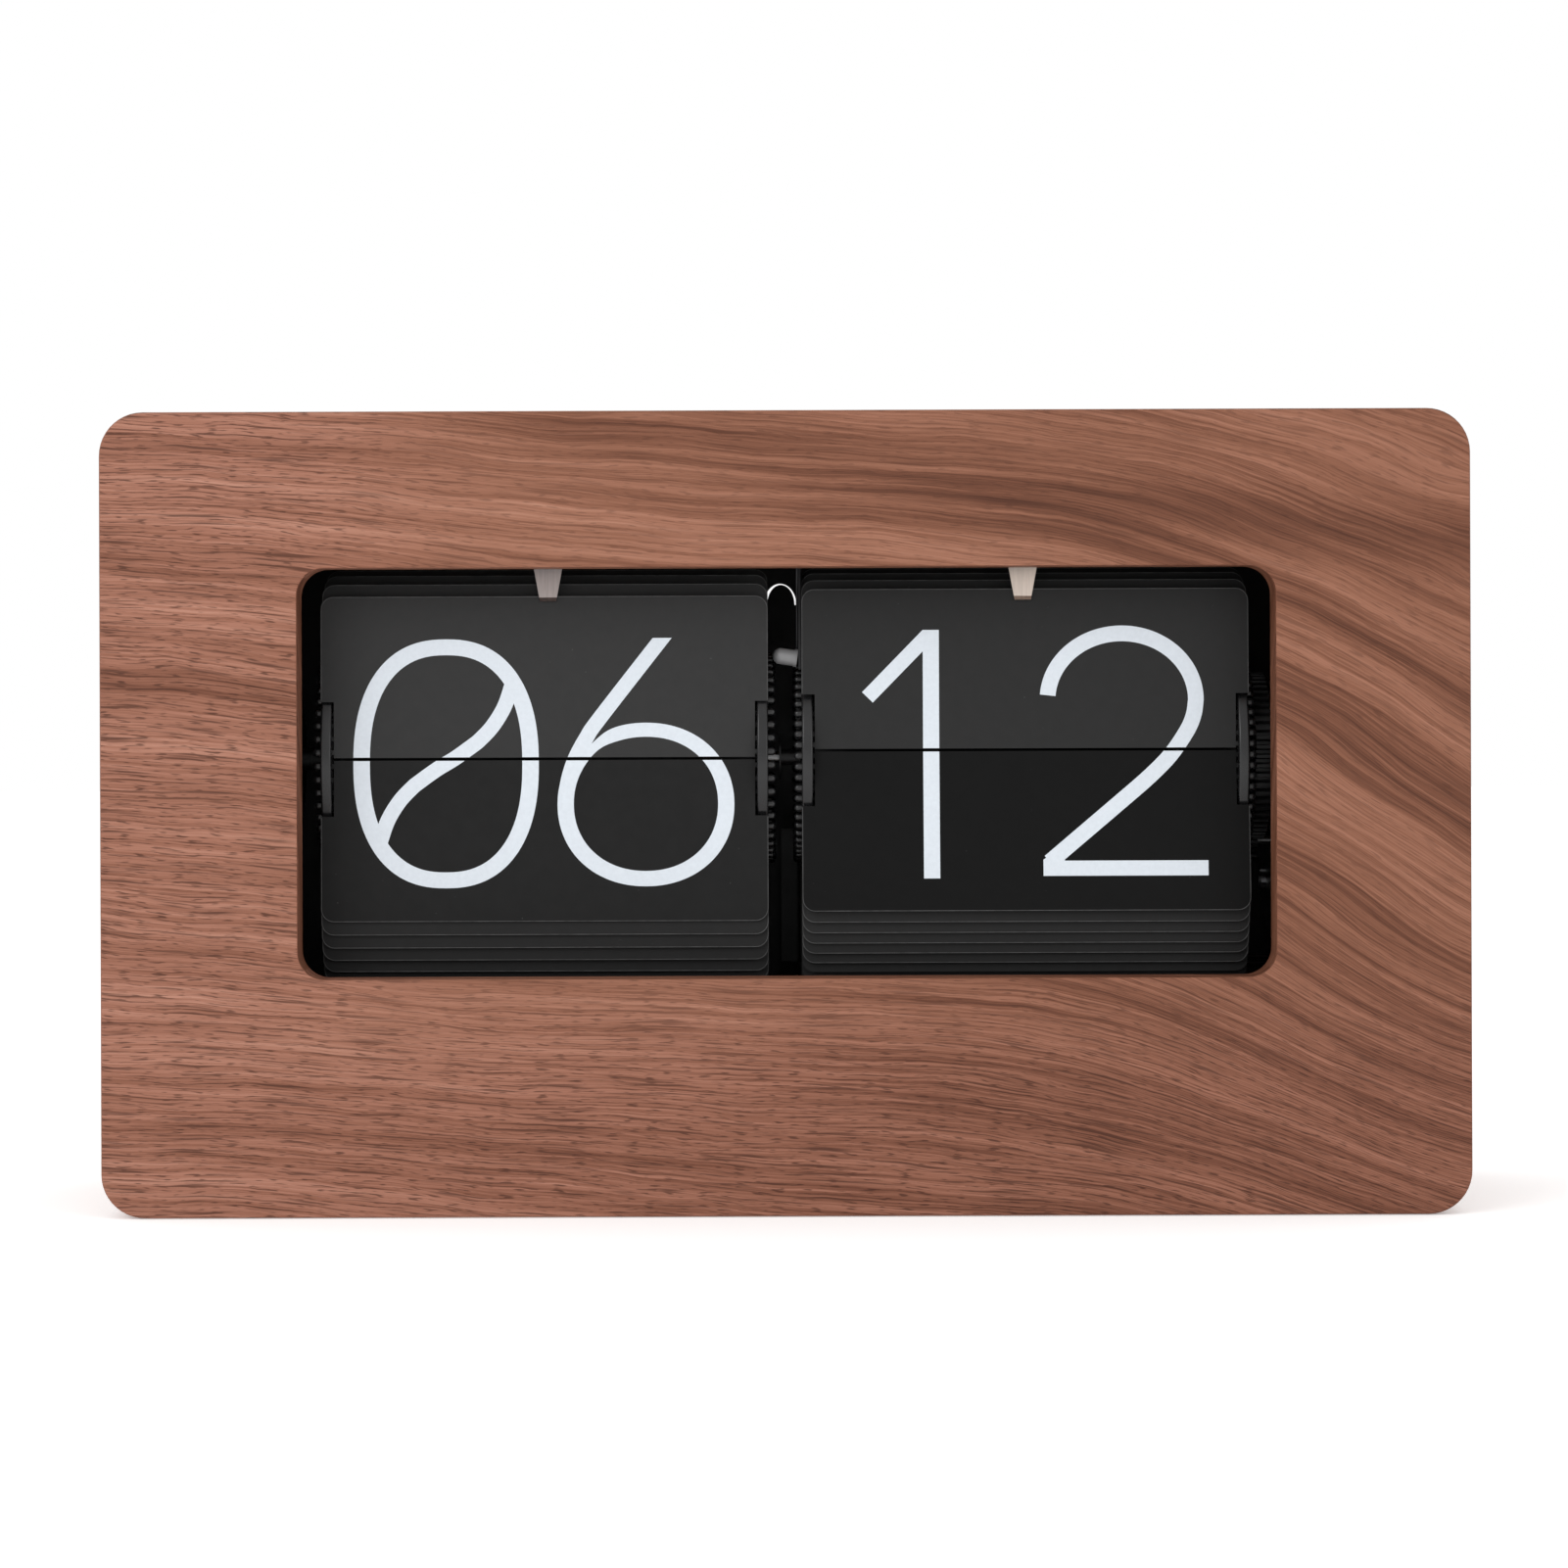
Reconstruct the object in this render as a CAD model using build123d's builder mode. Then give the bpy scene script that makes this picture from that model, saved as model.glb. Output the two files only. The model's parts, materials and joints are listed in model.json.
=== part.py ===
from build123d import *
import os
from math import acos, cos, pi, radians, sin, tan

# Flip number clock: wooden case, two drums of hinged number leaves on one axle.
# Millimetres. X runs to the viewer's right, the front faces -Y, Z is up.
# The origin is the centre of the case's footprint, on the surface it stands on.

# Case
CASE_W = 360.0
CASE_D = 105.0
CASE_H = 211.6
CASE_CORNER_R = 11.5
WALL = 10.0
PANEL_T = 12.0
FRONT_ROUND = 0.8
WINDOW_ROUND = 0.35
COVER_T = 3.0
COVER_GAP = 0.3
FRONT_Y = -CASE_D / 2
BACK_Y = CASE_D / 2
PANEL_BACK_Y = FRONT_Y + PANEL_T
COVER_IN_Y = BACK_Y - COVER_T
INNER_CORNER_R = 4.0

# Window in the front panel
WINDOW_W = 257.0
WINDOW_H = 108.1
WINDOW_X = 0.3
WINDOW_Z = 116.45
WINDOW_R = 7.3

# Drums: one axis for both, and the circle that the leaf pivots stand on
AXIS_Y = -4.7
AXIS_Z = 120.0
PIVOT_R = 27.8
AXLE_R = 1.5
RUN_GAP = 0.05
DRUM_IN_X = 4.5
DRUM_OUT_X = 124.1
FLANGE_R = 30.7
FLANGE_RIM_R = 24.5
FLANGE_T = 3.0
RIM_ROUND = 0.6
BEAD_R = 1.1
BEAD_STEM = 1.0
GROOVE_DEPTH = 1.7
GROOVE_HALF = 0.8
CORE_R = 6.0
HUB_R = 8.0

# Leaves
LEAF_L = 41.7
LEAF_T = 0.2
LEAF_CORNER_R = 3.3
NOTCH_W = 3.5
NOTCH_L = 13.5
TAB_L = 2.0
TAB_H = 1.2
LEAF_W = DRUM_OUT_X - DRUM_IN_X
LEAF_X = (DRUM_OUT_X + DRUM_IN_X) / 2

# Minute drum: 60 leaves, one turn an hour. Hour drum: 48 leaves, one turn a day.
MINUTE_LEAVES = 60
MINUTE_FRONT_ANGLE = 7.33
MINUTE_LEAN_BACK = 6.0
MINUTE_REST_LEAN = 1.33
MINUTE_FRONT_TILT = 5.5
MINUTE_TAIL = 1.1
HOUR_LEAVES = 48
HOUR_FRONT_ANGLE = 3.9
HOUR_LEAN_BACK = 5.0
HOUR_REST_LEAN = 1.0
HOUR_FRONT_TILT = 1.0
HOUR_TAIL = 1.46
TILT_FADE = 0.45

# Gears
PRESSURE_ANGLE = 20.0
ADDENDUM = 0.6
DEDENDUM = 1.0
BACKLASH = 0.08
FINE_MODULE = 0.6
COARSE_MODULE = 0.8
AXLE_PINION_TEETH = 14
LAY_WHEEL_TEETH = 56
LAY_PINION_TEETH = 10
HOUR_GEAR_TEETH = 60
MINUTE_GEAR_TEETH = 56
SET_WHEEL_TEETH = 40
MOTOR_PINION_TEETH = 12
LAY_Y = AXIS_Y + FINE_MODULE * (AXLE_PINION_TEETH + LAY_WHEEL_TEETH) / 2
SET_Y = AXIS_Y + COARSE_MODULE * (MINUTE_GEAR_TEETH + SET_WHEEL_TEETH) / 2
MOTOR_ANGLE = -60.0
MOTOR_REACH = COARSE_MODULE * (MINUTE_GEAR_TEETH + MOTOR_PINION_TEETH) / 2
MOTOR_Y = AXIS_Y + MOTOR_REACH * cos(radians(MOTOR_ANGLE))
MOTOR_Z = AXIS_Z + MOTOR_REACH * sin(radians(MOTOR_ANGLE))
MINUTE_GEAR_X = 126.7
MINUTE_GEAR_T = 4.2
HOUR_GEAR_X = -136.0
HOUR_GEAR_T = 3.0
LAY_WHEEL_X = -141.0
LAY_WHEEL_T = 2.5

# Chassis
BASE_Z = WALL
SHEET_T = 2.0
BASE_FRONT_Y = -24.0
BASE_BACK_Y = 6.0
LEFT_PLATE_X = -149.0
RIGHT_PLATE_X = 136.0
STUD_R = 1.5

# Leaf clips
CLIP_T = 0.3
CLIP_FRONT_Y = -32.45
CLIP_TOP_Z = 173.0
CLIP_TIP_Z = 162.2
CLIP_TOP_W = 8.0
CLIP_TIP_W = 4.0
CLIP_XS = (-63.2, 63.7)
RAIL_T = 1.5

# Lamp between the drums
LAMP_R = 2.2
LAMP_Y = -25.0
LAMP_Z = 146.8
LAMP_TILT = 8.0

# Battery: a D cell lying along X behind a door in the back cover
CELL_R = 17.0
CELL_L = 59.5
BOX_X0 = 48.0
BOX_X1 = 122.0
BOX_Y0 = 9.0
BOX_Z0 = WALL
BOX_Z1 = 48.0
BOX_WALL = 1.6
DOOR_X0 = 51.0
DOOR_X1 = 119.0
DOOR_Z0 = 13.6
DOOR_Z1 = 46.4
DOOR_T = 2.2
DOOR_HINGE_Z = 15.2
HINGE_PIN_R = 0.8

# Screws
SCREW_SHANK_R = 1.5
SCREW_HEAD_R = 3.0
SCREW_HEAD_H = 1.6
SCREW_L = 14.0
RECESS_W = 0.6

os.makedirs("parts", exist_ok=True)


def save(part, label):
    """Name a finished piece and write its STEP file."""
    part.part.label = label
    export_step(part.part, f"parts/{label}.step")


def across(x, y=AXIS_Y, z=AXIS_Z):
    """Plane facing +X, centred on a shaft at (y, z); local x is Y, local y is Z."""
    return Plane(origin=(x, y, z), x_dir=(0, 1, 0), z_dir=(1, 0, 0))


def involute(angle):
    return tan(angle) - angle


def gear_points(teeth, module, phase):
    """Closed outline of an involute gear; phase is the angle of its first tooth in degrees."""
    pitch_r = teeth * module / 2
    base_r = pitch_r * cos(radians(PRESSURE_ANGLE))
    tip_r = pitch_r + ADDENDUM * module
    root_r = pitch_r - DEDENDUM * module
    half_tooth = (pi * module / 2 - BACKLASH) / (2 * pitch_r)
    flank = []
    start_r = max(base_r, root_r)
    for step in range(6):
        r = start_r + (tip_r - start_r) * step / 5
        roll = acos(min(1.0, base_r / r))
        flank.append((r, half_tooth + involute(radians(PRESSURE_ANGLE)) - involute(roll)))
    if root_r < base_r:
        flank.insert(0, (root_r, flank[0][1]))
    points = []
    for tooth in range(teeth):
        centre = radians(phase) + 2 * pi * tooth / teeth
        points += [(r * cos(centre - a), r * sin(centre - a)) for r, a in flank]
        points += [(r * cos(centre + a), r * sin(centre + a)) for r, a in reversed(flank)]
    return points


def gear_face(teeth, module, phase):
    """Draw a gear outline in the sketch that is open."""
    with BuildLine() as outline:
        Polyline(*gear_points(teeth, module, phase), close=True)
    make_face(outline.edges())


def mesh_phase(direction, driver_phase, driver_teeth, teeth):
    """First-tooth angle of a gear that meshes with a driver standing opposite to direction."""
    offset = ((direction - driver_phase) * driver_teeth / 360) % 1
    return direction + 180 + (offset + 0.5) * 360 / teeth


def leaf_plane(x, angle, lean):
    """Plane of a leaf whose pivot is at angle above the drum's front; lean tips it back."""
    y = AXIS_Y - PIVOT_R * cos(radians(angle))
    z = AXIS_Z + PIVOT_R * sin(radians(angle))
    normal = (0, -cos(radians(lean)), sin(radians(lean)))
    return Plane(origin=(x, y, z), x_dir=(1, 0, 0), z_dir=normal)


def leaf_face(tail):
    """Draw one leaf: pivot at the origin, free edge up, notches and pivot tabs at its foot."""
    with BuildLine() as outline:
        FilletPolyline(
            (-LEAF_W / 2, 0), (-LEAF_W / 2, LEAF_L), (LEAF_W / 2, LEAF_L), (LEAF_W / 2, 0),
            radius=LEAF_CORNER_R,
        )
        Line((LEAF_W / 2, 0), (-LEAF_W / 2, 0))
    make_face(outline.edges())
    with Locations((0, -tail / 2)):
        Rectangle(LEAF_W, tail)
    notch_h = NOTCH_L + tail
    for side in (-1, 1):
        with Locations((side * (LEAF_W - NOTCH_W) / 2, notch_h / 2 - tail)):
            Rectangle(NOTCH_W, notch_h, mode=Mode.SUBTRACT)
        with Locations((side * (LEAF_W / 2 - NOTCH_W + TAB_L / 2), 0)):
            Rectangle(TAB_L, TAB_H)


def upper_lean(angle, lean_back, rest_lean):
    """Lean of a leaf on the upper or back half: it lies on the one behind, or hangs."""
    return min(max(angle - lean_back, rest_lean), 180.0)


def leaf_stack(x, tail, stations):
    """Extrude a leaf at each (angle, lean) station in the part that is open."""
    for angle, lean in stations:
        with BuildSketch(leaf_plane(x, angle, lean)) as leaf:
            leaf_face(tail)
        extrude(leaf.sketch, amount=LEAF_T / 2, both=True, clean=False)


def stations_of(leaves, front_angle, lean_back, rest_lean, front_tilt):
    """Every station of a drum, split into the upper stack and the hanging stack."""
    pitch = 360.0 / leaves
    upper = []
    for k in range(leaves):
        angle = front_angle + k * pitch
        if angle < 180 + lean_back:
            upper.append((angle, upper_lean(angle, lean_back, rest_lean)))
    lower = []
    for k in range(leaves - len(upper)):
        angle = front_angle - (k + 1) * pitch
        lower.append((angle, 180.0 + front_tilt * TILT_FADE**k))
    return upper, lower


def screws_at(planes, shank_r, length, head_r, head_h):
    """Cross-recessed screws in the part that is open, heads up along each plane's normal."""
    with Locations(*planes):
        Cylinder(shank_r, length, align=(Align.CENTER, Align.CENTER, Align.MAX))
        Cylinder(head_r, head_h, align=(Align.CENTER, Align.CENTER, Align.MAX))
        Box(
            head_r, RECESS_W, head_h / 2,
            align=(Align.CENTER, Align.CENTER, Align.MAX), mode=Mode.SUBTRACT,
        )
        Box(
            RECESS_W, head_r, head_h / 2,
            align=(Align.CENTER, Align.CENTER, Align.MAX), mode=Mode.SUBTRACT,
        )


def ring_at(planes, outer_r, inner_r, thickness):
    """Plain rings in the part that is open, standing on each plane."""
    for plane in planes:
        with BuildSketch(plane) as ring:
            Circle(outer_r)
            Circle(inner_r, mode=Mode.SUBTRACT)
        extrude(ring.sketch, amount=thickness)


# ---------------------------------------------------------------- case

with BuildPart() as front_panel:
    with BuildSketch(Plane.XZ.offset(-PANEL_BACK_Y)):
        with Locations((0, CASE_H / 2)):
            RectangleRounded(CASE_W, CASE_H, CASE_CORNER_R)
        with Locations((WINDOW_X, WINDOW_Z)):
            RectangleRounded(WINDOW_W, WINDOW_H, WINDOW_R, mode=Mode.SUBTRACT)
    extrude(amount=PANEL_T)
    front_edges = front_panel.edges().filter_by_position(Axis.Y, FRONT_Y - 0.01, FRONT_Y + 0.01)
    window_edges = [e for e in front_edges if abs(e.center().X) < WINDOW_W / 2 + WINDOW_X + 1]
    window_edges = [e for e in window_edges if abs(e.center().Z - WINDOW_Z) < WINDOW_H / 2 + 1]
    fillet([e for e in front_edges if e not in window_edges], FRONT_ROUND)
    fillet(window_edges, WINDOW_ROUND)
save(front_panel, "front_panel")

with BuildPart() as case_shell:
    with BuildSketch(Plane.XZ.offset(-BACK_Y)):
        with Locations((0, CASE_H / 2)):
            RectangleRounded(CASE_W, CASE_H, CASE_CORNER_R)
            RectangleRounded(
                CASE_W - 2 * WALL, CASE_H - 2 * WALL, INNER_CORNER_R, mode=Mode.SUBTRACT
            )
    extrude(amount=BACK_Y - PANEL_BACK_Y)
save(case_shell, "case_shell")

BLOCK = 14.0
BLOCK_L = 30.0
COVER_SCREW_XZ = [
    (sx * (CASE_W / 2 - WALL - BLOCK / 2), z)
    for sx in (-1, 1)
    for z in (WALL + BLOCK / 2, CASE_H - WALL - BLOCK / 2)
]

with BuildPart() as corner_blocks:
    with BuildSketch(Plane.XZ.offset(-COVER_IN_Y)):
        with Locations(*COVER_SCREW_XZ):
            RectangleRounded(BLOCK, BLOCK, INNER_CORNER_R)
    extrude(amount=BLOCK_L)
    with BuildSketch(Plane.XZ.offset(-COVER_IN_Y)):
        with Locations(*COVER_SCREW_XZ):
            Circle(SCREW_SHANK_R)
    extrude(amount=SCREW_L - COVER_T, mode=Mode.SUBTRACT)
save(corner_blocks, "corner_blocks")

# The hanger is an arched slot that leaves a tongue to hook over a nail
HANGER_X = -0.7
HANGER_Z = 163.2
HANGER_W = 4.7
HANGER_H = 6.2
HANGER_SLOT = 0.75
HANGER_CROWN = 0.4
SLOT_X0 = 125.2
SLOT_X1 = 136.4
SLOT_H = 26.0
SLOT_R = 3.0

with BuildPart() as back_cover:
    with BuildSketch(Plane.XZ.offset(-BACK_Y)):
        with Locations((0, CASE_H / 2)):
            RectangleRounded(
                CASE_W - 2 * WALL - COVER_GAP,
                CASE_H - 2 * WALL - COVER_GAP,
                INNER_CORNER_R,
            )
        with Locations(*COVER_SCREW_XZ):
            Circle(SCREW_SHANK_R, mode=Mode.SUBTRACT)
        with Locations(((SLOT_X0 + SLOT_X1) / 2, AXIS_Z)):
            RectangleRounded(SLOT_X1 - SLOT_X0, SLOT_H, SLOT_R, mode=Mode.SUBTRACT)
        with Locations(((DOOR_X0 + DOOR_X1) / 2, (DOOR_Z0 + DOOR_Z1) / 2)):
            Rectangle(DOOR_X1 - DOOR_X0, DOOR_Z1 - DOOR_Z0, mode=Mode.SUBTRACT)
    extrude(amount=COVER_T)
    with BuildSketch(Plane.XZ.offset(-BACK_Y)):
        with Locations((HANGER_X, HANGER_Z)):
            Ellipse(HANGER_W, HANGER_H)
        with Locations((HANGER_X + HANGER_SLOT / 4, HANGER_Z)):
            Ellipse(HANGER_W - HANGER_SLOT, HANGER_H - HANGER_CROWN, mode=Mode.SUBTRACT)
        with Locations((HANGER_X, HANGER_Z - HANGER_H / 2)):
            Rectangle(4 * HANGER_W, HANGER_H, mode=Mode.SUBTRACT)
    extrude(amount=COVER_T, mode=Mode.SUBTRACT)
    with BuildSketch(Plane.XZ.offset(-BACK_Y)):
        with Locations(*COVER_SCREW_XZ):
            Circle(SCREW_HEAD_R)
    extrude(amount=SCREW_HEAD_H, mode=Mode.SUBTRACT)
save(back_cover, "back_cover")

with BuildPart() as cover_screws:
    seats = [Plane(origin=(x, BACK_Y, z), z_dir=(0, 1, 0)) for x, z in COVER_SCREW_XZ]
    screws_at(seats, SCREW_SHANK_R, SCREW_L, SCREW_HEAD_R, SCREW_HEAD_H)
save(cover_screws, "cover_screws")

# ---------------------------------------------------------------- battery

CELL_X = (BOX_X0 + BOX_X1) / 2
CELL_GAP = 0.4
CELL_EDGE_R = 1.0
CELL_Y = BOX_Y0 + BOX_WALL + CELL_R + CELL_GAP
CELL_Z = (BOX_Z0 + BOX_Z1) / 2
NUB_R = 4.75
NUB_L = 1.5
CONTACT_T = 0.5
CONTACT_W = 14.0
CONTACT_R = 1.5
SPRING_R = 6.0
SPRING_WIRE_R = 0.5
SPRING_TURNS = 3
CAVITY_X0 = BOX_X0 + BOX_WALL
CAVITY_X1 = BOX_X1 - BOX_WALL
CELL_X0 = CAVITY_X1 - CONTACT_T - NUB_L - CELL_L

with BuildPart() as battery_box:
    with BuildSketch(Plane.XZ.offset(-COVER_IN_Y)):
        with Locations((CELL_X, CELL_Z)):
            Rectangle(BOX_X1 - BOX_X0, BOX_Z1 - BOX_Z0)
    extrude(amount=COVER_IN_Y - BOX_Y0)
    with BuildSketch(Plane.XZ.offset(-COVER_IN_Y)):
        with Locations((CELL_X, CELL_Z)):
            Rectangle(CAVITY_X1 - CAVITY_X0, BOX_Z1 - BOX_Z0 - 2 * BOX_WALL)
    extrude(amount=COVER_IN_Y - BOX_Y0 - BOX_WALL, mode=Mode.SUBTRACT)
save(battery_box, "battery_box")

with BuildPart() as battery:
    with BuildSketch(across(CELL_X0, CELL_Y, CELL_Z)):
        Circle(CELL_R)
    extrude(amount=CELL_L)
    fillet(battery.edges().filter_by(GeomType.CIRCLE), CELL_EDGE_R)
    with BuildSketch(across(CELL_X0 + CELL_L, CELL_Y, CELL_Z)):
        Circle(NUB_R)
    extrude(amount=NUB_L)
save(battery, "battery")

with BuildPart() as battery_contacts:
    for plate_x in (CAVITY_X0, CAVITY_X1 - CONTACT_T):
        with BuildSketch(across(plate_x, CELL_Y, CELL_Z)):
            RectangleRounded(CONTACT_W, CONTACT_W, CONTACT_R)
        extrude(amount=CONTACT_T)
    spring_x = CAVITY_X0 + CONTACT_T
    spring_l = CELL_X0 - spring_x - SPRING_WIRE_R
    coil_seat = across(spring_x + SPRING_WIRE_R, CELL_Y, CELL_Z).location
    coil = coil_seat * Helix(
        (spring_l - SPRING_WIRE_R) / SPRING_TURNS, spring_l - SPRING_WIRE_R, SPRING_R,
        mode=Mode.PRIVATE,
    )
    with BuildSketch(Plane(origin=coil @ 0, z_dir=coil % 0)) as wire:
        Circle(SPRING_WIRE_R)
    sweep(wire.sketch, path=coil)
save(battery_contacts, "battery_contacts")

DOOR_GAP = 0.3
HINGE_Y = BACK_Y - DOOR_T / 2
GRIP_DROP = 6.0
GRIP_W = 16.0
GRIP_H = 3.0
GRIP_DEPTH = 0.8

with BuildPart() as battery_door:
    with BuildSketch(Plane.XZ.offset(-BACK_Y)):
        with Locations((CELL_X, (DOOR_HINGE_Z + DOOR_Z1 - DOOR_GAP) / 2)):
            Rectangle(DOOR_X1 - DOOR_X0 - 2 * DOOR_GAP, DOOR_Z1 - DOOR_GAP - DOOR_HINGE_Z)
    extrude(amount=DOOR_T)
    with BuildSketch(across(DOOR_X0 + DOOR_GAP, HINGE_Y, DOOR_HINGE_Z)):
        Circle(DOOR_T / 2)
    extrude(amount=DOOR_X1 - DOOR_X0 - 2 * DOOR_GAP)
    with BuildSketch(across(DOOR_X0 + DOOR_GAP, HINGE_Y, DOOR_HINGE_Z)):
        Circle(HINGE_PIN_R + RUN_GAP)
    extrude(amount=DOOR_X1 - DOOR_X0 - 2 * DOOR_GAP, mode=Mode.SUBTRACT)
    with BuildSketch(Plane.XZ.offset(-BACK_Y)):
        with Locations((CELL_X, DOOR_Z1 - GRIP_DROP)):
            SlotOverall(GRIP_W, GRIP_H)
    extrude(amount=GRIP_DEPTH, mode=Mode.SUBTRACT)
save(battery_door, "battery_door")

with BuildPart() as door_hinge_pin:
    with BuildSketch(across(DOOR_X0, HINGE_Y, DOOR_HINGE_Z)):
        Circle(HINGE_PIN_R)
    extrude(amount=DOOR_X1 - DOOR_X0)
save(door_hinge_pin, "door_hinge_pin")

# ---------------------------------------------------------------- chassis

BASE_X0 = LEFT_PLATE_X
BASE_X1 = RIGHT_PLATE_X + SHEET_T
BASE_Y = (BASE_FRONT_Y + BASE_BACK_Y) / 2
FOOT_L = 14.0
FOOT_W = 24.0
FOOT_SCREW_OUT = 2.0
RIB_L = 200.0
RIB_H = 8.0
BUSH_R = 4.0
BUSH_FLANGE_R = 6.0
BUSH_T = 1.5
BASE_SCREW_XY = [(x, BASE_Y) for x in (-100.0, -40.0, 40.0, 100.0)]
FOOT_SCREW_XS = (
    LEFT_PLATE_X + SHEET_T / 2 + FOOT_L / 2 + FOOT_SCREW_OUT,
    RIGHT_PLATE_X + SHEET_T / 2 - FOOT_L / 2 - FOOT_SCREW_OUT,
)
FOOT_SCREW_XY = [(x, BASE_Y) for x in FOOT_SCREW_XS]

with BuildPart() as chassis_base:
    with BuildSketch(Plane.XY.offset(BASE_Z)):
        with Locations(((BASE_X0 + BASE_X1) / 2, BASE_Y)):
            Rectangle(BASE_X1 - BASE_X0, BASE_BACK_Y - BASE_FRONT_Y)
        with Locations(*BASE_SCREW_XY, *FOOT_SCREW_XY):
            Circle(SCREW_SHANK_R, mode=Mode.SUBTRACT)
    extrude(amount=SHEET_T)
    for rib_y in (BASE_FRONT_Y, BASE_BACK_Y - SHEET_T):
        with BuildSketch(Plane.XY.offset(BASE_Z + SHEET_T)):
            with Locations((0, rib_y + SHEET_T / 2)):
                Rectangle(RIB_L, SHEET_T)
        extrude(amount=RIB_H)
save(chassis_base, "chassis_base")


def end_plate(x, foot_side, outline, holes):
    """Pressed end plate in the part that is open, with a foot turned inwards."""
    with BuildSketch(across(x, 0, 0)) as plate:
        with BuildLine():
            Polyline(*outline, close=True)
        make_face()
        for hole_y, hole_z, hole_r in holes:
            with Locations((hole_y, hole_z)):
                Circle(hole_r, mode=Mode.SUBTRACT)
    extrude(plate.sketch, amount=SHEET_T)
    foot_x = x + SHEET_T / 2 + foot_side * FOOT_L / 2
    with BuildSketch(Plane.XY.offset(BASE_Z + SHEET_T)) as foot:
        with Locations((foot_x, BASE_Y)):
            Rectangle(FOOT_L + SHEET_T, FOOT_W)
        with Locations((foot_x + foot_side * FOOT_SCREW_OUT, BASE_Y)):
            Circle(SCREW_SHANK_R, mode=Mode.SUBTRACT)
    extrude(foot.sketch, amount=SHEET_T)


FOOT_Z = BASE_Z + SHEET_T
PLATE_TOP_Z = 144.0
PLATE_TOP_Y0 = -18.0
PLATE_TOP_Y1 = 8.0
PLATE_SHOULDER_Z = 132.0
LEFT_WAIST_Z = 70.0
LEFT_ARM_Y = 26.0
LEFT_ARM_Z = 95.0
RIGHT_WAIST_Z = 66.0
MOTOR_SHELF_Y = 36.0
MOTOR_SHELF_Z = 74.0
RIGHT_ARM_Y = 44.0
RIGHT_ARM_Z0 = 110.0
RIGHT_ARM_Z1 = 130.0
WIRE_HOLE_R = 10.0
WIRE_HOLE_Z = 60.0
MOTOR_BUSH_R = 3.0
MOTOR_SCREW_DY = 19.5
MOTOR_SCREW_DZ = 12.0

LEFT_OUTLINE = [
    (BASE_FRONT_Y, FOOT_Z), (BASE_BACK_Y, FOOT_Z), (BASE_BACK_Y, LEFT_WAIST_Z),
    (LEFT_ARM_Y, LEFT_ARM_Z), (LEFT_ARM_Y, PLATE_SHOULDER_Z),
    (PLATE_TOP_Y1, PLATE_TOP_Z), (PLATE_TOP_Y0, PLATE_TOP_Z), (BASE_FRONT_Y, PLATE_SHOULDER_Z),
]
RIGHT_OUTLINE = [
    (BASE_FRONT_Y, FOOT_Z), (BASE_BACK_Y, FOOT_Z), (BASE_BACK_Y, RIGHT_WAIST_Z),
    (MOTOR_SHELF_Y, MOTOR_SHELF_Z), (RIGHT_ARM_Y, RIGHT_ARM_Z0), (RIGHT_ARM_Y, RIGHT_ARM_Z1),
    (PLATE_TOP_Y1, PLATE_TOP_Z), (PLATE_TOP_Y0, PLATE_TOP_Z), (BASE_FRONT_Y, PLATE_SHOULDER_Z),
]

with BuildPart() as left_end_plate:
    end_plate(
        LEFT_PLATE_X, 1, LEFT_OUTLINE,
        [
            (AXIS_Y, AXIS_Z, BUSH_R),
            (LAY_Y, AXIS_Z, STUD_R),
            (AXIS_Y, WIRE_HOLE_Z, WIRE_HOLE_R),
        ],
    )
save(left_end_plate, "left_end_plate")

MOTOR_SCREW_YZ = [
    (MOTOR_Y + side * MOTOR_SCREW_DY, MOTOR_Z - side * MOTOR_SCREW_DZ) for side in (-1, 1)
]
with BuildPart() as right_end_plate:
    end_plate(
        RIGHT_PLATE_X, -1, RIGHT_OUTLINE,
        [(AXIS_Y, AXIS_Z, BUSH_R), (SET_Y, AXIS_Z, STUD_R), (MOTOR_Y, MOTOR_Z, MOTOR_BUSH_R)]
        + [(y, z, SCREW_SHANK_R) for y, z in MOTOR_SCREW_YZ],
    )
save(right_end_plate, "right_end_plate")

with BuildPart() as axle_bushings:
    for bush_x, flange_x in (
        (LEFT_PLATE_X, LEFT_PLATE_X + SHEET_T),
        (RIGHT_PLATE_X, RIGHT_PLATE_X - BUSH_T),
    ):
        with BuildSketch(across(bush_x)):
            Circle(BUSH_R)
        extrude(amount=SHEET_T)
        with BuildSketch(across(flange_x)):
            Circle(BUSH_FLANGE_R)
        extrude(amount=BUSH_T)
    with BuildSketch(across(LEFT_PLATE_X)):
        Circle(AXLE_R + RUN_GAP)
    extrude(amount=RIGHT_PLATE_X + SHEET_T - LEFT_PLATE_X, mode=Mode.SUBTRACT)
save(axle_bushings, "axle_bushings")

with BuildPart() as chassis_screws:
    base_seats = [
        Plane.XY.offset(BASE_Z + SHEET_T + SCREW_HEAD_H) * Location((x, y))
        for x, y in BASE_SCREW_XY
    ]
    foot_seats = [
        Plane.XY.offset(BASE_Z + 2 * SHEET_T + SCREW_HEAD_H) * Location((x, BASE_Y))
        for x in FOOT_SCREW_XS
    ]
    screws_at(
        base_seats, SCREW_SHANK_R, SHEET_T + SCREW_HEAD_H, SCREW_HEAD_R, SCREW_HEAD_H
    )
    screws_at(
        foot_seats, SCREW_SHANK_R, 2 * SHEET_T + SCREW_HEAD_H, SCREW_HEAD_R, SCREW_HEAD_H
    )
save(chassis_screws, "chassis_screws")

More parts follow.
